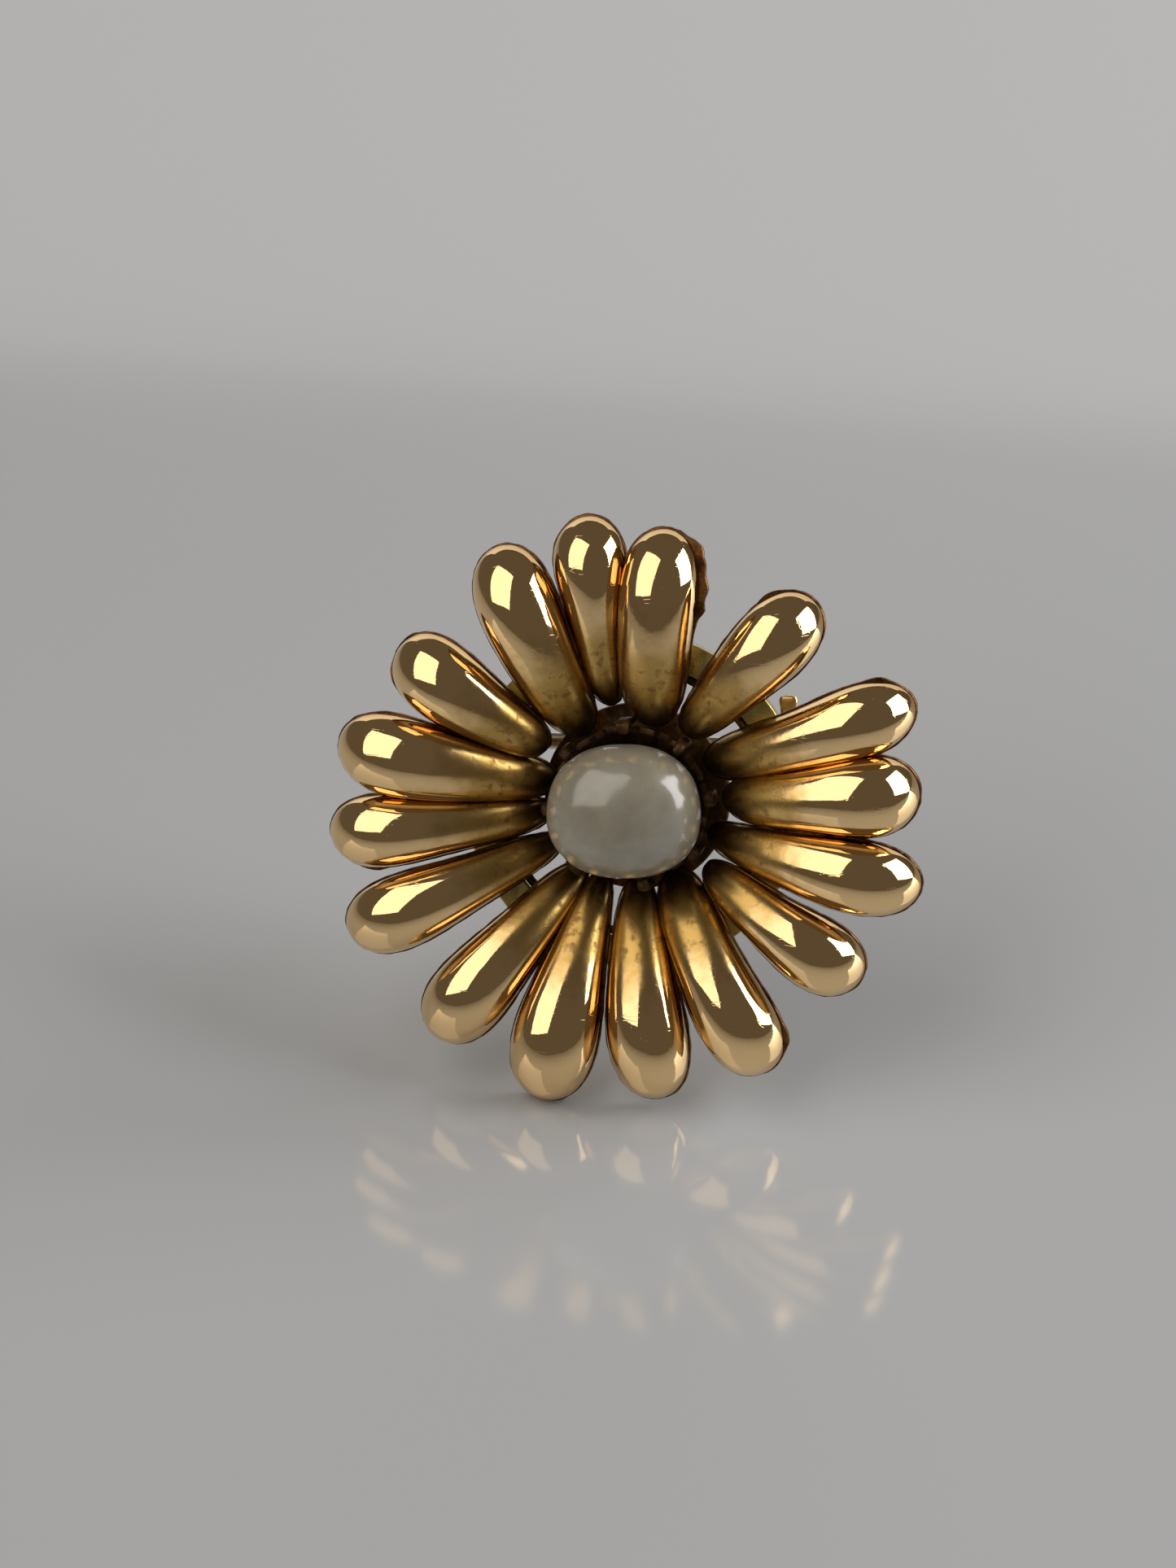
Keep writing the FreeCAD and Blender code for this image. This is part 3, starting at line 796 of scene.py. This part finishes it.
# Places where a back plate's edge is torn or nicked: petal number, side, where along the petal, span, depth.
EDGE_FAULTS = [
    (4, -1, 0.74, 0.13, 0.33),
    (4, -1, 0.90, 0.06, 0.22),
    (4, -1, 0.62, 0.03, 0.20),
    (3, 1, 0.86, 0.04, 0.12),
    (2, 1, 0.88, 0.04, 0.10),
    (14, 1, 0.90, 0.05, 0.12),
    (7, 1, 0.93, 0.04, 0.12),
    (9, 1, 0.80, 0.05, 0.10),
]


class BROOCH_OT_petal_backs(bpy.types.Operator):
    """Rough-cut sheets that close the petals from behind"""

    bl_idname = "brooch.petal_backs"
    bl_label = "Petal backs"

    def execute(self, context):
        petals = context.scene.brooch_petals
        gold = plate_finish(petals)
        lip = petals.lip / MM
        for petal in all_petals():
            faults = [fault for fault in EDGE_FAULTS if fault[0] == petal.number]

            def lip_at(q, side, turn, petal=petal, faults=faults):
                spot = (math.cos(turn), math.sin(turn), petal.number * 0.37)
                ragged = rough_noise(spot, 2.2, petal.number) * 0.035
                ragged += rough_noise(spot, 9.0, petal.number) * 0.03
                grow = lip * 0.75 + ragged
                for unused, way, middle, span, depth in faults:
                    if side * way > 0 and abs(side) > 0.2:
                        grow += depth * math.exp(-(((q - middle) / span) ** 2)) * (1 + ragged * 9)
                return grow

            points, faces = petal.plate(lip_at, petals.plate / MM)
            node = f"petal_{petal.number:02d}_back"
            new_piece(
                f"petal_plate_{petal.number:02d}", [(points, faces)],
                "flower", gold, [node], 35,
            )
        return {"FINISHED"}


# Pearl and its setting.


def quad_sphere(count):
    """Unit sphere of six square grids: points and quads."""
    line = np.tan(np.linspace(-math.pi / 4, math.pi / 4, count + 1))
    points, quads, known = [], [], {}
    frames = [((1, 0, 0), (0, 1, 0), (0, 0, 1)), ((-1, 0, 0), (0, 0, 1), (0, 1, 0))]
    frames += [((0, 1, 0), (0, 0, 1), (1, 0, 0)), ((0, -1, 0), (1, 0, 0), (0, 0, 1))]
    frames += [((0, 0, 1), (1, 0, 0), (0, 1, 0)), ((0, 0, -1), (0, 1, 0), (1, 0, 0))]
    for out, right, up in (map(np.array, axes) for axes in frames):
        index = np.zeros((count + 1, count + 1), int)
        for i, a in enumerate(line):
            for j, b in enumerate(line):
                point = out + a * right + b * up
                point = point / np.linalg.norm(point)
                key = tuple(np.round(point, 6))
                if key not in known:
                    known[key] = len(points)
                    points.append(point)
                index[i, j] = known[key]
        for i in range(count):
            for j in range(count):
                quads.append((index[i, j], index[i + 1, j], index[i + 1, j + 1], index[i, j + 1]))
    return np.array(points), quads


class BROOCH_OT_pearl(bpy.types.Operator):
    """Baroque button pearl"""

    bl_idname = "brooch.pearl"
    bl_label = "Pearl"

    def execute(self, context):
        pearl = context.scene.brooch_pearl
        half = np.array((pearl.width, pearl.height, pearl.depth)) / MM
        sphere, quads = quad_sphere(40)
        points = []
        for x, y, z in sphere:
            square = 2.25
            reach = (abs(x) ** square + abs(y) ** square + abs(z) ** square) ** (-1 / square)
            point = np.array((x, y, z)) * reach * half
            top = max(0.0, y) ** 2 * max(0.0, 1 - abs(x) * 0.5)
            point[1] -= 0.16 * top
            point[0] *= 1 - 0.035 * y - 0.02 * max(0, x) * y
            corner = max(0.0, -0.7 * x - 0.7 * y) ** 2
            point[:2] *= 1 + 0.02 * corner
            dent = math.exp(-(((point[0] - 1.95) / 0.42) ** 2) - (((point[1] - 0.45) / 0.62) ** 2))
            off = point[0] - 1.0 - 0.15 * (point[1] - 1.4)
            crease = math.exp(-((off / 0.10) ** 2) - (((point[1] - 1.5) / 0.6) ** 2))
            if z > 0:
                point[2] -= 0.11 * dent + 0.03 * crease
            point *= 1 + 0.010 * rough_noise(point, 0.45, 3) + 0.004 * rough_noise(point, 1.3, 5)
            points.append(point)
        new_piece("baroque_pearl", [(points, quads)], "flower", pearl_finish(pearl), ["pearl"], 80)
        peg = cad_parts["pearl_peg"]
        peg.data.materials.clear()
        peg.data.materials.append(old_gold())
        return {"FINISHED"}


def old_gold():
    """The one old gold material of the setting and the structure."""
    backing = bpy.context.scene.brooch_backing
    known = bpy.data.materials.get("old gold")
    return known or aged_gold("old gold", tuple(backing.old_gold), (0.045, 0.02, 0.008), 0.56, 0.3)


CLAW_BEARINGS = [6, 49, 93, 140, 184, 230, 282, 325]
CLAW_SIZES = [0.9, 0.7, 0.95, 0.75, 0.8, 1.25, 0.85, 0.9]


class BROOCH_OT_setting(bpy.types.Operator):
    """Toothed cup and stub claws round the pearl"""

    bl_idname = "brooch.setting"
    bl_label = "Setting"

    def execute(self, context):
        pearl = context.scene.brooch_pearl
        rim, foot = pearl.cup_rim / MM, pearl.cup_foot / MM
        rim_z, floor_z, wall = -1.5, DISC_FRONT_Z, 0.3
        corners = [(0.3, floor_z), (foot, floor_z), (rim, rim_z), (rim - wall, rim_z)]
        corners += [(foot - wall, floor_z + wall), (0.3, floor_z + wall)]
        profile = rounded_profile(corners, 0.08, 2)

        def teeth(angle, radius, z):
            share = max(0.0, (z - rim_z + 0.5) / 0.5)
            tooth = math.cos(angle * 14) * 0.5 + 0.5
            cut = max(0.0, min(1.0, (0.55 - tooth) * 3))
            uneven = rough_noise((math.cos(angle) * 3, math.sin(angle) * 3, 0), 1.6, 2)
            z_new = z - share * (0.38 * cut + 0.16 * max(0, uneven))
            spread = 1 + share * (0.014 * uneven + 0.02 * tooth)
            return radius * spread, z_new

        cup = lathe(profile, 196, teeth)
        new_piece("pearl_dish", [cup], "flower", old_gold(), ["pearl_cup"], 45)
        claws = []
        for bearing, size in zip(CLAW_BEARINGS, CLAW_SIZES):
            angle = math.radians(bearing)
            wide, tall = pearl.width / MM, pearl.height / MM
            touch = 1 / math.hypot(math.cos(angle) / wide, math.sin(angle) / tall)
            half = pearl.claw_width / MM / 2 * size
            path = [(3.8, 0, -2.15), (3.82, 0, -1.7), (3.82, 0, -1.2), (3.80, 0, -0.85), (3.74, 0, -0.66)]
            path.append((max(touch + 0.22, 3.45), 0, -0.60))
            sizes = [(half, 0.17), (half, 0.17), (half * 0.98, 0.18)]
            sizes += [(half * 0.95, 0.21), (half * 0.85, 0.22), (half * 0.66, 0.17)]
            points, faces = sweep(path, (0, 1, 0), sizes, 3.0)
            for i, point in enumerate(points):
                points[i] += np.array([rough_noise(point, 1.8, size * 10 + k) for k in range(3)]) * 0.05
            claws.append((turned(points, bearing), faces))
        new_piece("stub_claws", claws, "flower", old_gold(), ["pearl_claws"], 60)
        return {"FINISHED"}


# Structure behind the flower.


class BROOCH_OT_backing(bpy.types.Operator):
    """Centre disc, wide ring, thin wire and pegs"""

    bl_idname = "brooch.backing"
    bl_label = "Backing"

    def execute(self, context):
        backing = context.scene.brooch_backing
        inner, outer = backing.ring_inner / MM, backing.ring_outer / MM
        corners = [(inner, RING_BACK_Z), (outer, RING_BACK_Z), (outer, RING_FRONT_Z), (inner, RING_FRONT_Z)]

        def hand_made(angle, radius, z):
            spot = (math.cos(angle) * radius, math.sin(angle) * radius, z)
            return radius + 0.03 * rough_noise(spot, 0.35, 11), z + 0.02 * rough_noise(spot, 0.5, 12)

        ring = lathe(rounded_profile(corners, 0.09), 160, hand_made)
        band = aged_gold("band gold", tuple(backing.band_gold), (0.28, 0.20, 0.07), 0.42, 0.22)
        new_piece("broad_ring", [ring], "flower", band, ["back_ring"])
        middle_z = (RING_FRONT_Z + RING_BACK_Z) / 2
        radius, circle = backing.wire / MM, backing.wire_circle / MM
        section = [(circle + x, middle_z + y) for x, y in arc(radius, 0, 330, 12)]
        wire = lathe(section, 144, hand_made)
        new_piece("thin_wire", [wire], "flower", old_gold(), ["ring_wire"])
        disc = backing.disc / MM
        front, back = DISC_FRONT_Z, DISC_FRONT_Z - 0.45
        corners = [(0.2, back), (disc, back), (disc, front), (0.2, front)]
        plate = lathe(rounded_profile(corners, 0.1), 96, hand_made)
        knob = [(0.02, back - 0.03), (0.22, back - 0.02), (0.3, back + 0.05)]
        knob += [(0.3, front - 0.05), (0.02, front + 0.03)]
        cap = lathe(knob, 24, None, False)
        new_piece("centre_plate", [plate, cap], "flower", old_gold(), ["centre_disc"])
        pegs = []
        size, reach = backing.peg / MM, backing.peg_reach / MM
        for petal in all_petals():
            outward = petal.start @ petal.along
            distance = -outward + math.sqrt(outward**2 + reach**2 - petal.start @ petal.start)
            x, y = petal.start + petal.along * distance
            top = petal.rim_z(distance) - 0.2
            foot = RING_FRONT_Z
            profile = [(size * 1.7, foot - 0.06), (size * 1.5, foot + 0.05), (size * 1.12, foot + 0.14)]
            profile += [(size * 1.02, foot + 0.25), (size, top - 0.22)]
            profile += [(size * 1.15, top - 0.1), (size * 1.5, top)]

            def lump(angle, radius, z, number=petal.number):
                spot = (math.cos(angle), math.sin(angle), z * 2)
                return radius * (1 + 0.12 * rough_noise(spot, 0.9, number)), z

            points, faces = lathe(profile, 24, lump, False)
            pegs.append((points + np.array((x, y, 0)), faces))
        new_piece("petal_pegs", pegs, "flower", old_gold(), ["ring_pegs"])
        return {"FINISHED"}


# Pin, hinge and catch.


def fitting_gold():
    """The one gold material of the hinge and the catch."""
    fittings = bpy.context.scene.brooch_fittings
    known = bpy.data.materials.get("fitting gold")
    return known or aged_gold("fitting gold", tuple(fittings.gold), (0.26, 0.13, 0.05), 0.40, 0.17)


def pin_steel():
    """The one steel material."""
    known = bpy.data.materials.get("pin steel")
    return known or steel_finish(bpy.context.scene.brooch_fittings)


BASE_BACK_Z = RING_BACK_Z - 0.4


class BROOCH_OT_hinge(bpy.types.Operator):
    """Hinge fork on the ring, and its rivet"""

    bl_idname = "brooch.hinge"
    bl_label = "Hinge"

    def execute(self, context):
        fittings = context.scene.brooch_fittings
        eye, edge = fittings.knuckle / MM, fittings.edge / MM
        middle = (PIN_LINE.x, PIN_LINE.y, PIN_LINE.z)
        base_z = (RING_BACK_Z + BASE_BACK_Z) / 2
        corners = [(-eye, -1.05), (eye, -1.05), (eye, 1.05), (-eye, 1.05)]
        outline = rounded_profile(corners, 0.18, 4)
        parts = [slab(outline, 0.4, edge, (PIN_LINE.x, PIN_LINE.y, base_z), "z")]
        foot = BASE_BACK_Z - PIN_LINE.z + 0.12
        for side in (-1, 1):
            # Across the hinge's axis the plane is (z, x).
            cheek = [(foot, -eye), (foot, eye)] + [(-y, x) for x, y in arc(eye, 0, 180, 25)]
            parts.append(slab(cheek, 0.6, edge, (middle[0], middle[1] + side * 0.75, middle[2]), "y"))
        new_piece("hinge_fork_cheeks", parts, "flower", fitting_gold(), ["hinge_fork"], 30)
        head = [(0.02, -1.30), (0.2, -1.29), (0.38, -1.25), (0.49, -1.16), (0.52, -1.06), (0.30, -1.03)]
        profile = head + [(r, -z) for r, z in head[::-1]]
        rivet = along_axis(lathe(profile, 40, None, False), "y", middle)
        new_piece("domed_rivet", [rivet], "flower", pin_steel(), ["hinge_rivet"])
        return {"FINISHED"}


class BROOCH_OT_pin(bpy.types.Operator):
    """Steel pin with a rolled knuckle and a ground point"""

    bl_idname = "brooch.pin"
    bl_label = "Pin"

    def execute(self, context):
        fittings = context.scene.brooch_fittings
        radius, neck, knuckle = fittings.pin / MM, fittings.neck / MM, fittings.knuckle / MM
        middle = (PIN_LINE.x, PIN_LINE.y, PIN_LINE.z)
        roll = rounded_profile([(0.34, -0.4), (knuckle, -0.4), (knuckle, 0.4), (0.34, 0.4)], 0.09)
        parts = [along_axis(lathe(roll, 56), "y", middle)]
        profile = [(0.47, 0.5), (0.46, 0.72), (0.43, 0.9), (radius, 1.05)]
        profile += [(radius, x - PIN_LINE.x) for x in (-4.5, -2.0, 1.0, 3.5, 5.05)]
        profile += [(neck + 0.03, 5.28 - PIN_LINE.x), (neck, 5.4 - PIN_LINE.x), (neck, 8.2 - PIN_LINE.x)]
        profile += [(neck * 0.97, 8.5 - PIN_LINE.x), (0.18, 9.2 - PIN_LINE.x), (0.12, 9.9 - PIN_LINE.x)]
        profile += [(0.085, 10.3 - PIN_LINE.x), (0.05, 10.52 - PIN_LINE.x), (0.015, 10.59 - PIN_LINE.x)]
        parts.append(along_axis(lathe(profile, 32, None, False), "x", middle))
        new_piece("pin_with_knuckle", parts, "pin", pin_steel(), ["pin_stem"], 40)
        return {"FINISHED"}


class BROOCH_OT_catch(bpy.types.Operator):
    """Catch housing and its turning sleeve with a thumb lever"""

    bl_idname = "brooch.catch"
    bl_label = "Catch"

    def execute(self, context):
        fittings = context.scene.brooch_fittings
        cheek, edge, sleeve = fittings.cheek / MM, fittings.edge / MM, fittings.sleeve / MM
        half = 0.6 + 0.06 + 0.5
        foot = BASE_BACK_Z - PIN_LINE.z
        base = rounded_profile([(-half, -cheek), (half, -cheek), (half, cheek), (-half, cheek)], 0.16, 4)
        parts = [slab(base, 0.4, edge, (CATCH.x, CATCH.y, (RING_BACK_Z + BASE_BACK_Z) / 2), "z")]
        shape = c_outline(cheek, 0.72, 0.92, foot + 0.12)
        for side in (-1, 1):
            parts.append(slab(shape, 0.5, edge, (CATCH.x + side * (half - 0.25), CATCH.y, CATCH.z), "x"))
        new_piece("catch_cheeks", parts, "flower", fitting_gold(), ["catch_housing"], 30)
        barrel = slab(c_outline(sleeve, 0.34, 0.62), 1.2, 0.06, tuple(CATCH), "x")
        necks = slab(c_outline(0.68, 0.34, 0.62), 2 * half, 0.04, tuple(CATCH), "x")
        angle = math.radians(-12)
        way = Vector((0, math.cos(angle), math.sin(angle)))
        path = [CATCH + way * reach for reach in (0.8, 1.1, 1.5, 1.8, 2.0, 2.2, 2.33)]
        sizes = [(0.40, 0.22), (0.36, 0.18), (0.35, 0.16), (0.38, 0.17)]
        sizes += [(0.43, 0.2), (0.44, 0.2), (0.38, 0.17)]
        lever = sweep(path, (1, 0, 0), sizes, 3.2, 24)
        parts = [barrel, necks, lever]
        new_piece("turning_sleeve", parts, "sleeve", fitting_gold(), ["catch_sleeve"], 30)
        return {"FINISHED"}


def c_outline(outer, bore, mouth, foot=None):
    """C-shaped outline open towards -z in (y, z), with legs up to a foot if one is given."""
    half = mouth / 2
    low = math.degrees(math.asin(half / outer))
    inner = math.degrees(math.asin(half / bore)) if half < bore else 88.0
    if foot is None:
        points = arc(outer, -90 + low, 270 - low, 60)
    else:
        points = arc(outer, -90 + low, 0, 20) + [(outer, foot), (-outer, foot)]
        points += arc(outer, 180, 270 - low, 20)
    return points + arc(bore, 270 - inner, -90 + inner, 32)


# Table, light and camera.

# Half the height of the view at the flower, and how far the view's middle lies left of and above it.
VIEW_HALF_HEIGHT = 35.7
VIEW_LEFT = 1.65
VIEW_UP = 1.17
# Distance of the softboxes from the flower, in metres.
SOFTBOX_DISTANCE = 0.5


def camera_axes(stage):
    """Unit vectors from the flower to the camera, to the picture's right and up the picture."""
    a, e = stage.turn, stage.rise
    toward = Vector((math.sin(a) * math.cos(e), -math.cos(a) * math.cos(e), math.sin(e)))
    right = Vector((math.cos(a), math.sin(a), 0))
    return toward, right, toward.cross(right)


def build_world(stage):
    """One plain dim colour round the brooch, and one plain pale colour behind it."""
    world = bpy.data.worlds.new("studio")
    world.use_nodes = True
    bpy.context.scene.world = world
    tree = world.node_tree
    tree.nodes.clear()
    seen = add_node(tree, "ShaderNodeLightPath", None, None, "Is Camera Ray")
    colours = {0: seen, 6: tuple(stage.surround), 7: tuple(stage.backdrop)}
    shown = add_node(tree, "ShaderNodeMix", {"data_type": "RGBA"}, colours, 2)
    surface = add_node(tree, "ShaderNodeBackground", None, {"Color": shown, "Strength": 1.0})
    add_node(tree, "ShaderNodeOutputWorld", None, {"Surface": surface})


# Plain softboxes: name, degrees to the right and up from the camera's axis, width and height in
# metres, power and colour.
SOFTBOXES = [
    ("key_softbox", -43, 25, 0.46, 0.60, 1.3, (1.0, 0.95, 0.88)),
    ("side_softbox", 76, 24, 0.40, 0.40, 2.2, (1.0, 1.0, 1.0)),
    ("back_softbox", 175, 42, 0.60, 0.40, 0.6, (1.0, 0.97, 0.93)),
]


def add_softboxes(axes):
    """Rectangular soft lights that face the flower."""
    toward, right, up = axes
    for name, azimuth, elevation, width, height, power, tint in SOFTBOXES:
        a, e = math.radians(azimuth), math.radians(elevation)
        way = (toward * math.cos(a) + right * math.sin(a)) * math.cos(e) + up * math.sin(e)
        lamp = bpy.data.lights.new(name, "AREA")
        lamp.shape = "RECTANGLE"
        lamp.size, lamp.size_y = width, height
        lamp.energy = power
        lamp.color = tint
        light = bpy.data.objects.new(name, lamp)
        light.location = FACE + way * SOFTBOX_DISTANCE
        light.rotation_mode = "QUATERNION"
        light.rotation_quaternion = way.to_track_quat("Z", "Y")
        bpy.context.scene.collection.objects.link(light)


def table_finish(stage):
    """Pale glossy table that fades out far away and isn't seen from below."""
    finish = Finish("pale table")
    cloud = finish.noise(0.02, 3.0)
    dust = finish.noise(1.5, 3.0)
    dark, light = (tuple(c * share for c in stage.table) for share in (0.98, 1.02))
    base = finish.mix((cloud - 0.5) * 0.3 + 0.5, dark, light)
    span = finish.node("ShaderNodeVectorMath", {"operation": "LENGTH"}, {0: finish.spot}, "Value")
    back = finish.node("ShaderNodeNewGeometry", None, None, "Backfacing")
    solid = span.step(420, 240) * (1 - back)
    finish.material.surface_render_method = "BLENDED"
    return finish.done(
        Base_Color=base,
        Roughness=0.07 + dust * 0.03,
        IOR=1.7,
        Alpha=solid,
        Normal=finish.relief((dust - 0.5) * 0.0008),
    )


class BROOCH_OT_stage(bpy.types.Operator):
    """Pale table, plain softboxes and camera"""

    bl_idname = "brooch.stage"
    bl_label = "Stage"

    def execute(self, context):
        stage = context.scene.brooch_stage
        axes = camera_axes(stage)
        toward, right, up = axes
        lean = stage.lean
        flat = Vector((toward.x, toward.y, 0)).normalized()
        normal = flat * math.sin(lean) + Vector((0, 0, 1)) * math.cos(lean)
        lowest = min(
            vertex.co.dot(normal)
            for number in range(1, PETAL_COUNT + 1)
            for kind in ("shell", "back")
            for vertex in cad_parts[f"petal_{number:02d}_{kind}"].data.vertices
        )
        spot = FACE + normal * (lowest - 0.00003 - FACE.dot(normal))
        mesh = bpy.data.meshes.new("pale_table")
        size = 0.45
        corners = [(-size, -size, 0), (size, -size, 0), (size, size, 0), (-size, size, 0)]
        mesh.from_pydata(corners, [], [(0, 1, 2, 3)])
        mesh.materials.append(table_finish(stage))
        table = bpy.data.objects.new("pale_table", mesh)
        table.rotation_mode = "QUATERNION"
        table.rotation_quaternion = normal.to_track_quat("Z", "Y")
        table.location = spot
        context.scene.collection.objects.link(table)
        build_world(stage)
        add_softboxes(axes)
        camera = bpy.data.objects.new("camera", bpy.data.cameras.new("camera"))
        camera.data.sensor_width = 36
        camera.data.lens = camera.data.sensor_width / 2 * stage.distance / (VIEW_HALF_HEIGHT * MM)
        camera.data.clip_start = 0.005
        camera.data.clip_end = 5
        camera.location = FACE + toward * stage.distance - right * VIEW_LEFT * MM + up * VIEW_UP * MM
        camera.rotation_mode = "QUATERNION"
        camera.rotation_quaternion = Matrix((right, up, toward)).transposed().to_quaternion()
        context.scene.collection.objects.link(camera)
        context.scene.camera = camera
        context.scene.view_settings.view_transform = "Standard"
        return {"FINISHED"}


class BROOCH_PT_panel(bpy.types.Panel):
    """Sizes, colours and steps of the brooch"""

    bl_idname = "BROOCH_PT_panel"
    bl_label = "Petal brooch"
    bl_space_type = "VIEW_3D"
    bl_region_type = "UI"
    bl_category = "Brooch"

    def draw(self, context):
        for operator in OPERATORS:
            self.layout.operator(operator.bl_idname)
        for name in GROUPS:
            group = getattr(context.scene, name)
            column = self.layout.box().column()
            for key in group.bl_rna.properties.keys():
                if key not in ("rna_type", "name"):
                    column.prop(group, key)


GROUPS = {
    "brooch_petals": BroochPetals,
    "brooch_pearl": BroochPearl,
    "brooch_backing": BroochBacking,
    "brooch_fittings": BroochFittings,
    "brooch_stage": BroochStage,
}
OPERATORS = [
    BROOCH_OT_petals,
    BROOCH_OT_petal_backs,
    BROOCH_OT_pearl,
    BROOCH_OT_setting,
    BROOCH_OT_backing,
    BROOCH_OT_hinge,
    BROOCH_OT_pin,
    BROOCH_OT_catch,
    BROOCH_OT_stage,
]


def register():
    """Register the classes and attach the properties to the scene."""
    for cls in (*GROUPS.values(), *OPERATORS, BROOCH_PT_panel):
        bpy.utils.register_class(cls)
    for name, group in GROUPS.items():
        setattr(bpy.types.Scene, name, bpy.props.PointerProperty(type=group))


def unregister():
    """Undo register()."""
    for name in GROUPS:
        delattr(bpy.types.Scene, name)
    for cls in (BROOCH_PT_panel, *reversed(OPERATORS), *reversed(GROUPS.values())):
        bpy.utils.unregister_class(cls)


def main():
    """Build the brooch and its stage."""
    register()
    for operator in OPERATORS:
        group, name = operator.bl_idname.split(".")
        getattr(getattr(bpy.ops, group), name)()


if __name__ == "__main__":
    main()
